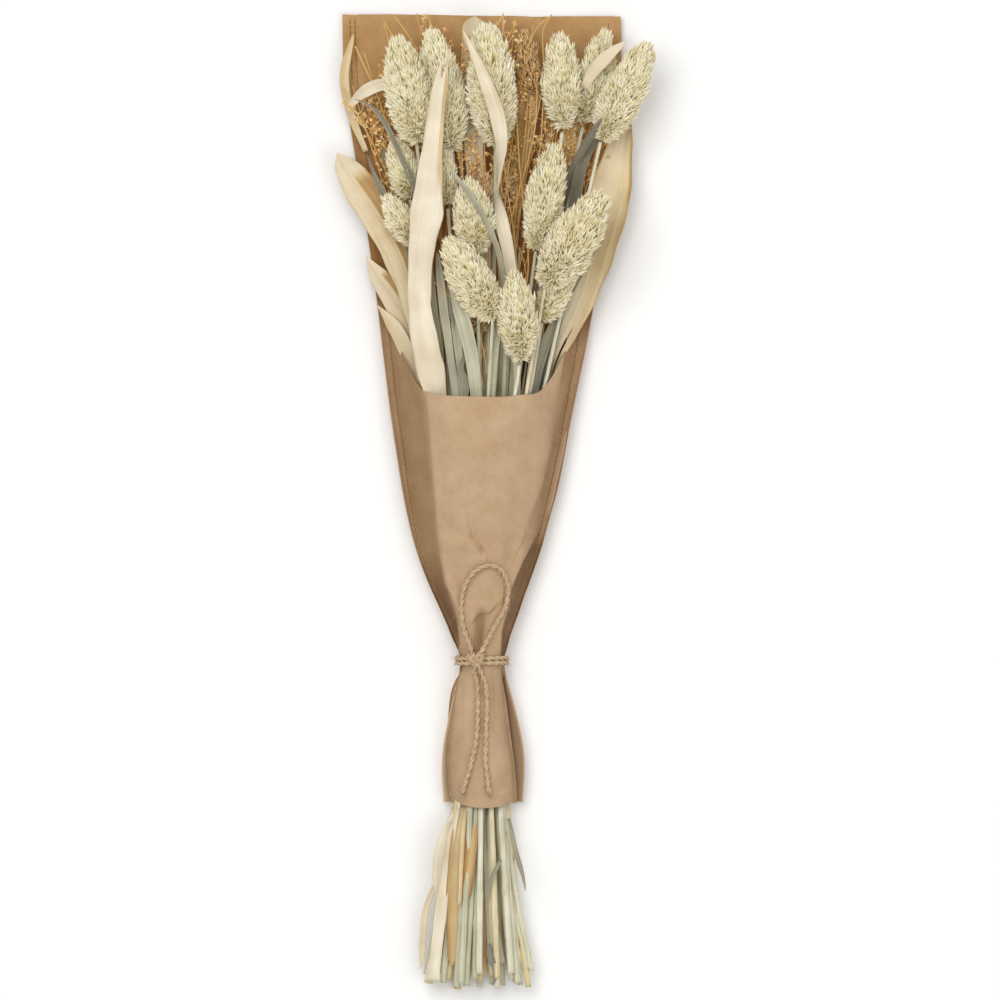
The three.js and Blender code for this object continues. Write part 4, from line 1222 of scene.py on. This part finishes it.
def ribbon(name, line, sides, widths, across, fold, flute, wave, tint, tip=14, blunt=1.0,
           wider=1, moved=0, ends=0, turned_side=None, split=()):
    """A thin leaf laid along a line, with across columns. Its edges stand up by fold, it has ribs
    of flute mm and its edges wave by wave mm. tint, wider and moved give its colour, breadth and
    shift to the right in mm at shares of its length, and from the share blunt on its breadth is
    kept. It is rounded over the last tip mm, and ends says how many mm it stays short at places
    across it. turned_side is (side, share, from, to) of a strip that is folded over, and split
    lists slits (place across, from, to)."""
    long = lengths_along(line)[-1]
    deselect()
    bpy.ops.mesh.primitive_grid_add(x_subdivisions=across, y_subdivisions=int(long / LEAF_ROW),
                                    size=2)
    piece = bpy.context.object
    piece.name = name
    grid = points_of(piece)
    u, v = grid[:, 0], (grid[:, 1] + 1) / 2
    place = v * (long - between(u, ends) * MM)
    side = units(at_each(line, sides, place))
    run = units(at_each(line, line, np.minimum(place + 2 * MM, long))
                - at_each(line, line, np.maximum(place - 2 * MM, 0)))
    side -= run * np.sum(side * run, axis=1)[:, None]
    normal = np.cross(side, run)
    width = np.interp(np.minimum(v, blunt) * long, lengths_along(line), widths)
    width = width * between(v, wider)
    if tip:
        width = width * np.sqrt(np.clip((1 - v) * long / (tip * MM), 0.0, 1))
    broad = np.clip(width / (8 * MM), 0, 1)
    phase = leaf_random.uniform(0, 6, 8)
    far = place / MM
    edge = np.sin(far / 9 + phase[0]) + 0.6 * np.sin(far / 3.7 + phase[1] * np.sign(u))
    x = u * width / 2 * (1 + 0.045 * edge * np.abs(u))
    wander = 0.8 * np.sin(far / 46 + phase[2])
    lift = flute * MM * broad * (np.sin(x / MM / 1.05 + phase[3] + wander)
                                 + 0.6 * np.sin(x / MM / 0.52 + phase[4] - wander))
    lift += fold * width * (np.abs(u) ** 1.6 - 0.4)
    lift += (wave * MM * broad * np.abs(u) ** 3
             * np.sin(far / 8.5 + phase[5] + 1.5 * np.sign(u)))
    shade = (between(v, tint) + 0.10 * np.sin(far / 33 + phase[6])
             + 0.08 * np.sin(u * 3 + phase[7]) + 0.3 * ramp(np.abs(u) * 7, 6, 7))
    if turned_side:
        hand, part, from_v, to_v = turned_side
        beyond = hand * u - 1 + 2 * part
        inside = (ramp(beyond, 0, 0.12) * ramp(v, from_v, from_v + 0.02)
                  * ramp(-v, -to_v, 0.02 - to_v))
        lift -= inside * beyond * width * 0.15
        lift += 0.5 * MM * np.exp(-(beyond / 0.1) ** 2) * (inside > 0)
        shade = np.minimum(np.clip(shade, 0, 1) + 0.62 * inside, 0.93)
    centre = at_each(line, line, place) + side * (between(v, moved) * MM)[:, None]
    points = within(centre + side * x[:, None] + normal * lift[:, None])
    move_points(piece, under_sheet(points))
    note(piece, "tint", np.clip(shade, 0, 1))
    corner_vertex = np.empty(len(piece.data.loops), dtype=np.int32)
    piece.data.loops.foreach_get("vertex_index", corner_vertex)
    chart = np.stack([x + 0.05 * leaf_random.integers(1, 40), place], axis=1)[corner_vertex]
    piece.data.uv_layers["UVMap"].data.foreach_set("uv", chart.astype(np.float32).ravel())
    if split:
        tear(piece, u, v, 1.0 / across, split)
    apply_modifier(piece, "SOLIDIFY", thickness=LEAF_THICK, offset=0)
    bpy.ops.object.shade_smooth()
    return piece


def tear(piece, u, v, gap, splits):
    """Opens narrow slits: (place across, from share, to share) of the leaf."""
    pick(piece)
    bpy.ops.object.mode_set(mode="EDIT")
    bpy.ops.mesh.select_all(action="DESELECT")
    bpy.ops.object.mode_set(mode="OBJECT")
    for face in piece.data.polygons:
        own = list(face.vertices)
        across, up = u[own].mean(), v[own].mean()
        face.select = any(low < up < high and abs(across - at) < gap * (
            1 + 2 * math.sin(math.pi * (up - low) / (high - low))) for at, low, high in splits)
    bpy.ops.object.mode_set(mode="EDIT")
    bpy.ops.mesh.delete(type="FACE")
    bpy.ops.object.mode_set(mode="OBJECT")


# %% Leaves that follow their solids
LEAVES = {
    "leaf_front_left": dict(
        across=31, fold=0.08, flute=0.09, wave=0.8, tint=0.14, tip=0, blunt=0.955,
        wider=((0, 0.8), (0.14, 0.8), (0.2, 1), (0.6, 1), (0.64, 1.3), (0.69, 1.32), (0.76, 0.74),
               (0.81, 0.8), (0.86, 1.05), (0.9, 1), (0.955, 1), (1, 0.82)),
        moved=((0, -3.5), (0.13, -3.5), (0.21, 0), (0.62, 0), (0.69, 0.7), (0.76, -2.1),
               (0.81, -1.8), (0.86, 0), (1, 0)),
        ends=((-1, 20), (-0.72, 8), (-0.4, 0), (0.02, 12), (0.45, 0), (0.75, 6), (1, 17)),
        turned_side=(1, 0.3, 0.86, 1.01)),
    "leaf_centre_twisted": dict(across=19, fold=0.06, flute=0.1, wave=0.5, tint=0.22, tip=30),
    "leaf_right_broad": dict(
        across=33, fold=0.05, flute=0.2, wave=1.3,
        tint=((0, 0.05), (0.45, 0.1), (0.66, 0.36), (0.82, 0.56), (1, 0.6)),
        wider=((0, 1), (0.78, 1), (0.85, 1.12), (1, 1)),
        turned_side=(1, 0.1, 0.88, 0.985), split=((0.42, 0.655, 0.735), (-0.1, 0.62, 0.66))),
    "leaf_left_arched": dict(
        across=27, fold=0.06, flute=0.16, wave=0.6, tint=0.42, tip=8,
        wider=((0, 1), (0.72, 1.1), (0.8, 1.6), (0.9, 1.5), (1, 1.5)),
        moved=((0, 0), (0.72, 0), (0.82, 1.5), (0.92, 0.5), (1, 0)),
        turned_side=(1, 0.5, 0.3, 0.97)),
    "leaf_tall_back": dict(across=19, fold=0.05, flute=0.12, wave=0.5, tint=0.35, tip=6,
                           blunt=0.95, moved=((0, 0), (0.86, 0), (1, -3.0))),
    "leaf_left_lower": dict(
        across=21, fold=0.06, flute=0.15, wave=0.8, tint=0.42,
        wider=((0, 1.2), (0.35, 1.9), (0.8, 1.6), (1, 1.2)),
        moved=((0, 0), (0.4, 2.0), (0.8, 0.6), (1, 0)), turned_side=(1, 0.35, 0.3, 0.9)),
    "leaf_left_curl": dict(across=15, fold=0.1, flute=0.1, wave=0.6, tint=0.5,
                           wider=((0, 1.3), (0.6, 1.6), (1, 0.9)))}
for node, habit in LEAVES.items():
    piece = ribbon("husk_" + node, *follow(node, LEAF_REACH), **habit)
    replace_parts(finished(piece, leaf_finish), node)
print(len(LEAVES), "leaves")

# %% Blades that follow their solids
BLADES = {     # tint
    "blade_right_dark": 0.0, "blade_left_arched": 0.2, "blade_left_back": 0.1,
    "blade_left_side": 0.1, "blade_centre_silver": 0.6, "blade_right_low": 0.4,
    "blade_left_wide": 0.9, "blade_sheath": 0.4}
for node, tint in BLADES.items():
    piece = ribbon("grey_" + node, *follow(node, BLADE_REACH), across=9, fold=0.16, flute=0.07,
                   wave=0.2, tint=tint, tip=18)
    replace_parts(finished(piece, blade_finish), node)
print(len(BLADES), "blades")

# %% [markdown]
# Smaller scraps of leaf lie between them: tips that look out behind the heads, torn strips along
# the cut ends. They are ribbons too, on short lines of their own.

# %% Scraps of leaf
TORN = dict(tip=0, ends=((-1, 6), (-0.6, 1), (-0.2, 4), (0.3, 0), (0.7, 3), (1, 7)))


def scrap(name, route, width, tint, finish):
    line = eased(route, 2 * MM)
    level = np.cross(units(np.gradient(line, axis=0)), [0, 0, 1])
    share = np.linspace(0, 1, len(line))
    widths = width * MM * np.interp(share, [0, 0.25, 0.6, 1], [0.6, 0.9, 1, 0.9])
    end = TORN if name.startswith("strip") else dict(tip=16)
    piece = ribbon(name, line, level, widths, 9, fold=0.12, flute=0.08, wave=0.3, tint=tint, **end)
    finished(piece, finish)


HUSK_SCRAPS = {     # route, width, tint
    "tip_behind_left_edge": ([(-72, 196, 10), (-80, 216, 12), (-84, 238, 14), (-79, 262, 14)],
                             5, 0.6),
    "leaf_over_left_edge": ([(-52, 226, 27), (-61, 233, 27), (-73, 229, 24), (-83, 219, 19)],
                            7, 0.3),
    "leaf_before_right_head": ([(50, 231, 31), (56, 241, 33.5), (64, 249.5, 34.5), (73.5, 257, 33)],
                               7.5, 0.3),
    "beige_behind_right_head": ([(30, 140, 16), (38, 176, 17), (42, 200, 18), (41, 216, 18)],
                                10, 0.82),
    "husk_between_heads": ([(12, 170, 14), (17, 205, 15), (20, 232, 17), (15, 262, 19)], 11, 0.86),
    "strip_left_thin": ([(-31, -210, 15), (-38, -228, 15), (-40, -244, 14), (-41, -263, 13)],
                        3.6, 0.35),
    "strip_left_broad": ([(-14, -158, 12), (-19, -172, 14), (-27, -190, 19), (-30, -206, 20),
                          (-28.5, -233, 19)], 9, 0.1),
    "strip_left_pale": ([(-26, -200, 14), (-30, -226, 14), (-31, -246, 13), (-31, -263, 12)],
                        6, 0.15),
    "strip_left_tan": ([(-15, -162, 16), (-20, -186, 22), (-22.5, -222, 23), (-22.5, -262, 22)],
                       8.5, 0.78),
    "strip_left_straw": ([(-15, -164, 17), (-17.5, -186, 27), (-18.6, -206, 29),
                          (-19.5, -228, 28)], 2.6, 0.6),
    "strip_brown": ([(-12, -160, 18), (-12, -180, 24), (-13.5, -200, 28), (-16, -224, 27)],
                    6.5, 1.0)}
BLADE_SCRAPS = {
    "scrap_foot_right": ([(8, -178, 31), (12, -196, 31), (16, -210, 30), (17.5, -219, 29)],
                         2.8, 0.3),
    "scrap_foot_middle": ([(4, -201, 32), (0, -208, 32), (-3, -216, 31), (-4, -222, 31)],
                          2.8, 0.25),
    "scrap_foot_end": ([(-3, -248, 29), (-2, -256, 30), (1, -264, 29), (-1, -272, 28)], 4, 0.0),
    "scrap_mouth": ([(-17, 52, 37), (-16, 66, 38), (-19, 74, 38), (-15, 84, 37)], 4, 0.2),
    "blade_beside_leaf": ([(-20, 48, 31), (-23, 70, 33), (-28, 105, 34), (-32, 140, 32)], 4.8, 0.9),
    "sheath_in_mouth": ([(-17, 50, 33), (-19, 75, 35), (-21, 92, 36), (-24, 112, 35)], 4.5, 0.75),
    "dark_pair": ([(22, 110, 24), (34, 150, 26), (44, 186, 28), (60, 214, 47)], 4.5, 0.1)}
for scraps, finish, slot in ((HUSK_SCRAPS, leaf_finish, "cream_leaf"),
                             (BLADE_SCRAPS, blade_finish, "grey_blade")):
    for name, (route, width, tint) in scraps.items():
        scrap(name, route, width, tint, finish)
print(len(HUSK_SCRAPS) + len(BLADE_SCRAPS), "scraps")

# %% Golden threads that curl between the stems
CURLS = [
    [(-34, 123, 37), (-26, 115, 39), (-15, 112, 38)],
    [(-29, 134, 36), (-23, 120, 39), (-15, 110, 38)],
    [(-9, 94, 38), (-6, 84, 39), (-4, 70, 38)], [(-2, 88, 36), (-8, 78, 39), (-6, 62, 39)],
    [(6, 158, 28), (2, 140, 31), (3, 120, 30)], [(14, 112, 36), (18, 124, 34), (15, 140, 30)],
    [(12, 120, 20), (24, 182, 22), (27.8, 234, 20), (27.2, 262, 17), (32, 272, 15)],
    [(8, 130, 20), (17, 200, 21), (20, 250, 18), (23.3, 264, 16), (32.3, 272.5, 15)],
    [(-22, 150, 18), (-34, 215, 20), (-41.6, 249, 18), (-56, 272, 15)],
    [(-24, 160, 18), (-36, 210, 19), (-44, 238, 18), (-62, 269, 14)],
    [(-52, 190, 18), (-66, 228, 20), (-78, 255, 17)], [(-44, 200, 15), (-62, 268, 12)],
    [(6, 140, 20), (-1, 210, 24), (-2, 255, 28), (5, 272.5, 26)],
    [(10, 90, 30), (19, 130, 33), (14, 190, 30), (12, 228, 26)],
    [(3, 100, 30), (8, 150, 30), (22, 204, 26), (24, 240, 22)],
    [(14, 84, 30), (12, 140, 30), (5, 196, 30), (9, 240, 22)]]
SHORT_CURL = 24                  # a line of fewer points is a thread, a longer one a thin stalk
THREAD_RADIUS, STALK_RADIUS = 0.22 * MM, 0.42 * MM
curl_forms = []
for line in [eased(route, 2 * MM) for route in CURLS]:
    radius = THREAD_RADIUS if len(line) < SHORT_CURL else STALK_RADIUS
    curl_forms.append(rod_form(line, np.full(len(line), radius), round_section(6)))
curls = together(curl_forms)
threads = finished(mesh_piece("golden_threads", *curls), twig_finish)
note(threads, "tint", np.full(len(curls[0]), 0.5))

# %% [markdown]
# ## The statice
# Statice carries many tiny papery cups on thin twigs that fork twice. The fans lie flat behind the
# heads, where their solids lie. A cup is drawn up from a circle and pushed in again, and its copies
# sit at the ends of the twigs.

# %% A papery cup
cup = form_of(drawn_up("cup", 5, [
    (0.0, 0.08, 0.08, 0.0), (0.55, 0.17, 0.17, 0.0), (1.0, 0.38, 0.38, 0.0),
    (0.85, 0.15, 0.15, 0.0)]))
print("cup:", len(cup[2]), "faces")
spray_random = np.random.default_rng(55)


def turned_to(runs, sizes):
    """Turns that point a form's height along each run, with a random roll."""
    helper = np.where(np.abs(runs[:, 2:]) > 0.9, [[1.0, 0, 0]], [[0, 0, 1.0]])
    first = units(np.cross(runs, helper))
    second = np.cross(runs, first)
    roll = spray_random.uniform(0, 2 * np.pi, len(runs))[:, None]
    a = first * np.cos(roll) + second * np.sin(roll)
    return np.stack([a, np.cross(runs, a), runs], axis=2) * sizes[:, None, None]


# %% Fans of forked twigs
MAIN_POINTS = 18


def twig_line(root, way, long, bend, count):
    s = np.linspace(0, 1, count)
    return root + np.outer(s * long, way) + np.outer(s ** 2 * long, bend)


def fan(base, tip, spread, branches, rise, random=spray_random):
    """Twigs as (line, radii), and cups as (place, way), for one spray: branches part low on the
    stalk, fork again and again, and end in small bunches of cups."""
    base, tip = np.array(base) * MM, np.array(tip) * MM
    run = unit(tip - base)
    long = np.linalg.norm(tip - base)
    across = unit(np.cross(run, [0, 0, 1]))
    lines, cups = [], []
    for k in range(branches):
        share = 2 * (k + 0.5) / branches - 1
        end = tip + across * share * spread * MM * 1.15 - run * long * 0.16 * share ** 2
        end = end + run * random.uniform(-0.3, 0.04) * long * (k % 3 > 0)
        end = end + [0, 0, rise * MM * random.uniform()]
        start = base + run * random.uniform(-0.12, 0.1) * long
        s = np.linspace(0, 1, MAIN_POINTS)[:, None]
        bow = across * random.normal(0, 0.03) * long + [0, 0, 0.03 * long]
        main = start + s * (end - start) + np.sin(np.pi * s) * bow
        lines.append((main, np.linspace(0.55, 0.28, MAIN_POINTS) * MM))
        for t in np.arange(0.42, 0.99, 0.065):
            lean = np.radians(random.uniform(16, 42)) * random.choice([-1, 1])
            rising = [0, 0, random.normal(0.1, 0.1)]
            way = unit(run * np.cos(lean) + across * np.sin(lean) + rising)
            reach = random.uniform(7, 19) * MM * (1.25 - 0.6 * t)
            twig = twig_line(main[int(t * (MAIN_POINTS - 1))], way, reach, run * 0.12, 6)
            lines.append((twig, np.linspace(0.3, 0.17, 6) * MM))
            for at in twig[2:]:
                turn = unit(way + random.normal(size=3) * (0.55, 0.45, 0.3) + run * 0.3)
                small = random.uniform(1.2, 4.0) * MM
                fork = twig_line(at, turn, small, run * 0.1, 3)
                lines.append((fork, np.linspace(0.18, 0.14, 3) * MM))
                for _ in range(random.integers(1, 3)):
                    face = unit(turn + random.normal(size=3) * 0.4)
                    cups.append((at + turn * small * random.uniform(0.6, 1.0), face))
    return lines, cups


def petal_finish():
    """Thin papery cups, tan to orange, paler at their rims."""
    finish, tree = new_finish("statice_cup", 0.15)
    grain = socket(tree, "TexNoise", place_of(tree), Scale=1600, Detail=2).outputs[0]
    colour = colour_ramp(tree, note_of(tree, "tint"), [
        (0.0, "dba352"), (0.4, "ebbf7b"), (0.75, "f5d89d"), (1.0, "f9e3b4")])
    fleck = spread_out(tree, grain, 0.35, 0.7, 0, 0.3)
    colour = blend(tree, fleck, colour, paint("b98143"))
    wire_up(tree, colour, spread_out(tree, grain, 0.3, 0.7, 0.65, 0.88), grain, 0.4, 0.15)
    return finish


cup_finish = petal_finish()
LOWEST_TWIG, BOX_GAP = 1.4 * MM, 0.5 * MM
SPRAYS = {     # fans: base, tip, spread, branches, rise
    "statice_left": [((-36.8, 108, 9), (-66.0, 255, 13), 22, 10, 8),
                     ((-30, 150, 12), (-37, 272, 14), 19, 7, 5)],
    "statice_centre": [((4.0, 92, 8), (10.0, 271, 14), 27, 18, 16)],
    "statice_right": [((31.2, 122, 9.5), (50.0, 250, 13), 16, 9, 6)]}
for node, fans in SPRAYS.items():
    lines, cups = [], []
    for one in fans:
        more_lines, more_cups = fan(*one)
        lines, cups = lines + more_lines, cups + more_cups
    stalk, _ = stem_parts(node, fans[0][0][1] * MM, 0.9)
    forms = [stalk] + [rod_form(line, radii, round_section(5)) for line, radii in lines]
    twig_form = together(forms)
    places, runs = (np.array(part) for part in zip(*cups))
    sizes = spray_random.uniform(1.5, 3.0, len(cups)) * MM
    cup_form = many(cup, turned_to(runs, sizes), places)
    tint = np.repeat(np.clip(spray_random.normal(0.5, 0.25, len(cups)), 0, 1), len(cup[0]))
    tint = np.clip(tint + np.tile(cup[0][:, 2] - 0.6, len(cups)) * 0.5, 0, 1)
    for points, _, _ in (twig_form, cup_form):
        points[:, 2] = np.maximum(points[:, 2], LOWEST_TWIG)
        points[:, 1] = np.minimum(points[:, 1], cad_high[1] - BOX_GAP)
        points[:, 0] = np.clip(points[:, 0], cad_low[0] + BOX_GAP, cad_high[0] - BOX_GAP)
    twig_piece = mesh_piece("twigs_" + node, *twig_form)
    note(twig_piece, "tint", 0.5 + 0.4 * np.sin(twig_form[0][:, 0] * 310))
    cup_piece = mesh_piece("cups_" + node, *cup_form, smooth=False)
    note(cup_piece, "tint", tint)
    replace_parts(finished(twig_piece, twig_finish), node)
    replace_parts(finished(cup_piece, cup_finish), node)
    print(node, len(cups), "cups")

# %% [markdown]
# ## The seams
# The two sheets are sewn together along their sides. Each stitch is a short thread that comes up,
# lies on the paper and goes down again.

# %% Stitches
seam_thread = grown_finish("seam_thread", [(0.0, "8a6e4a"), (1.0, "9a7e58")], "6b5233", 3000, 3000)
STITCH, STITCH_STEP = 2.3, 3.1   # mm
LONGEST_STITCH = 4 * MM
SEAM_RADIUS = 0.19 * MM
outline = points_of(back_paper) / MM


def sleeve_edges(y):
    near = outline[np.abs(outline[:, 1] - y) < 3]
    return near[:, 0].min(), near[:, 0].max()


def on_paper(x, y):
    """The highest point of the sheets under a place, and its normal."""
    best = None
    for sheet in (front_paper, back_paper):
        hit, place, normal = drop(sheet, x, y)
        if hit and (best is None or place[2] > best[0][2]):
            best = np.array(place), np.array(normal)
    return best


def seam_row(share, from_y, to_y, wander):
    """Threads along the seam, at a share of the sleeve's half width; all lengths are in mm."""
    forms = []
    y = from_y
    while y > to_y:
        ends = []
        for place in (y, y - STITCH):
            left, right = sleeve_edges(place)
            x = (left + right) / 2 + share * (right - left) / 2 + wander * math.sin(place / 17)
            ends.append(on_paper(x * MM, place * MM))
        y -= STITCH_STEP
        if None in ends:
            continue
        (a, up_a), (b, up_b) = ends
        if np.linalg.norm(b - a) > LONGEST_STITCH:
            continue
        line = np.array([a - up_a * 0.2 * MM, a + up_a * 0.1 * MM, (a + b) / 2 + up_a * 0.18 * MM,
                         b + up_b * 0.1 * MM, b - up_b * 0.2 * MM])
        forms.append(rod_form(line, np.full(len(line), SEAM_RADIUS), round_section(6)))
    return forms


stitches = seam_row(-0.91, 270, -44, 0.3) + seam_row(0.91, 268, -44, 0.3)
stitches += seam_row(-0.945, 270, 236, 0.1)
finished(mesh_piece("seam_threads", *together(stitches)), seam_thread)
print(len(stitches), "stitches")

# %% Floor
deselect()
bpy.ops.mesh.primitive_grid_add(x_subdivisions=2, y_subdivisions=2, size=8, location=(0, 0, 0))
floor = bpy.context.object
floor.name = "floor"
floor_finish, floor_tree = new_finish("pale_floor", 0.1)
floor_noise = socket(floor_tree, "TexNoise", place_of(floor_tree), Scale=30, Detail=2).outputs[0]
floor_colour = blend(floor_tree, floor_noise, (0.955, 0.955, 0.95, 1), (0.97, 0.97, 0.965, 1))
floor_shader = floor_tree.nodes["Principled BSDF"]
floor_shader.inputs["Roughness"].default_value = 0.9
floor_tree.links.new(floor_colour, floor_shader.inputs["Base Color"])
floor.data.materials.append(floor_finish)
floor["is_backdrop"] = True

# %% Size
low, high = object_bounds()
print("visual", [round(1000 * v, 1) for v in (*low, *high)])
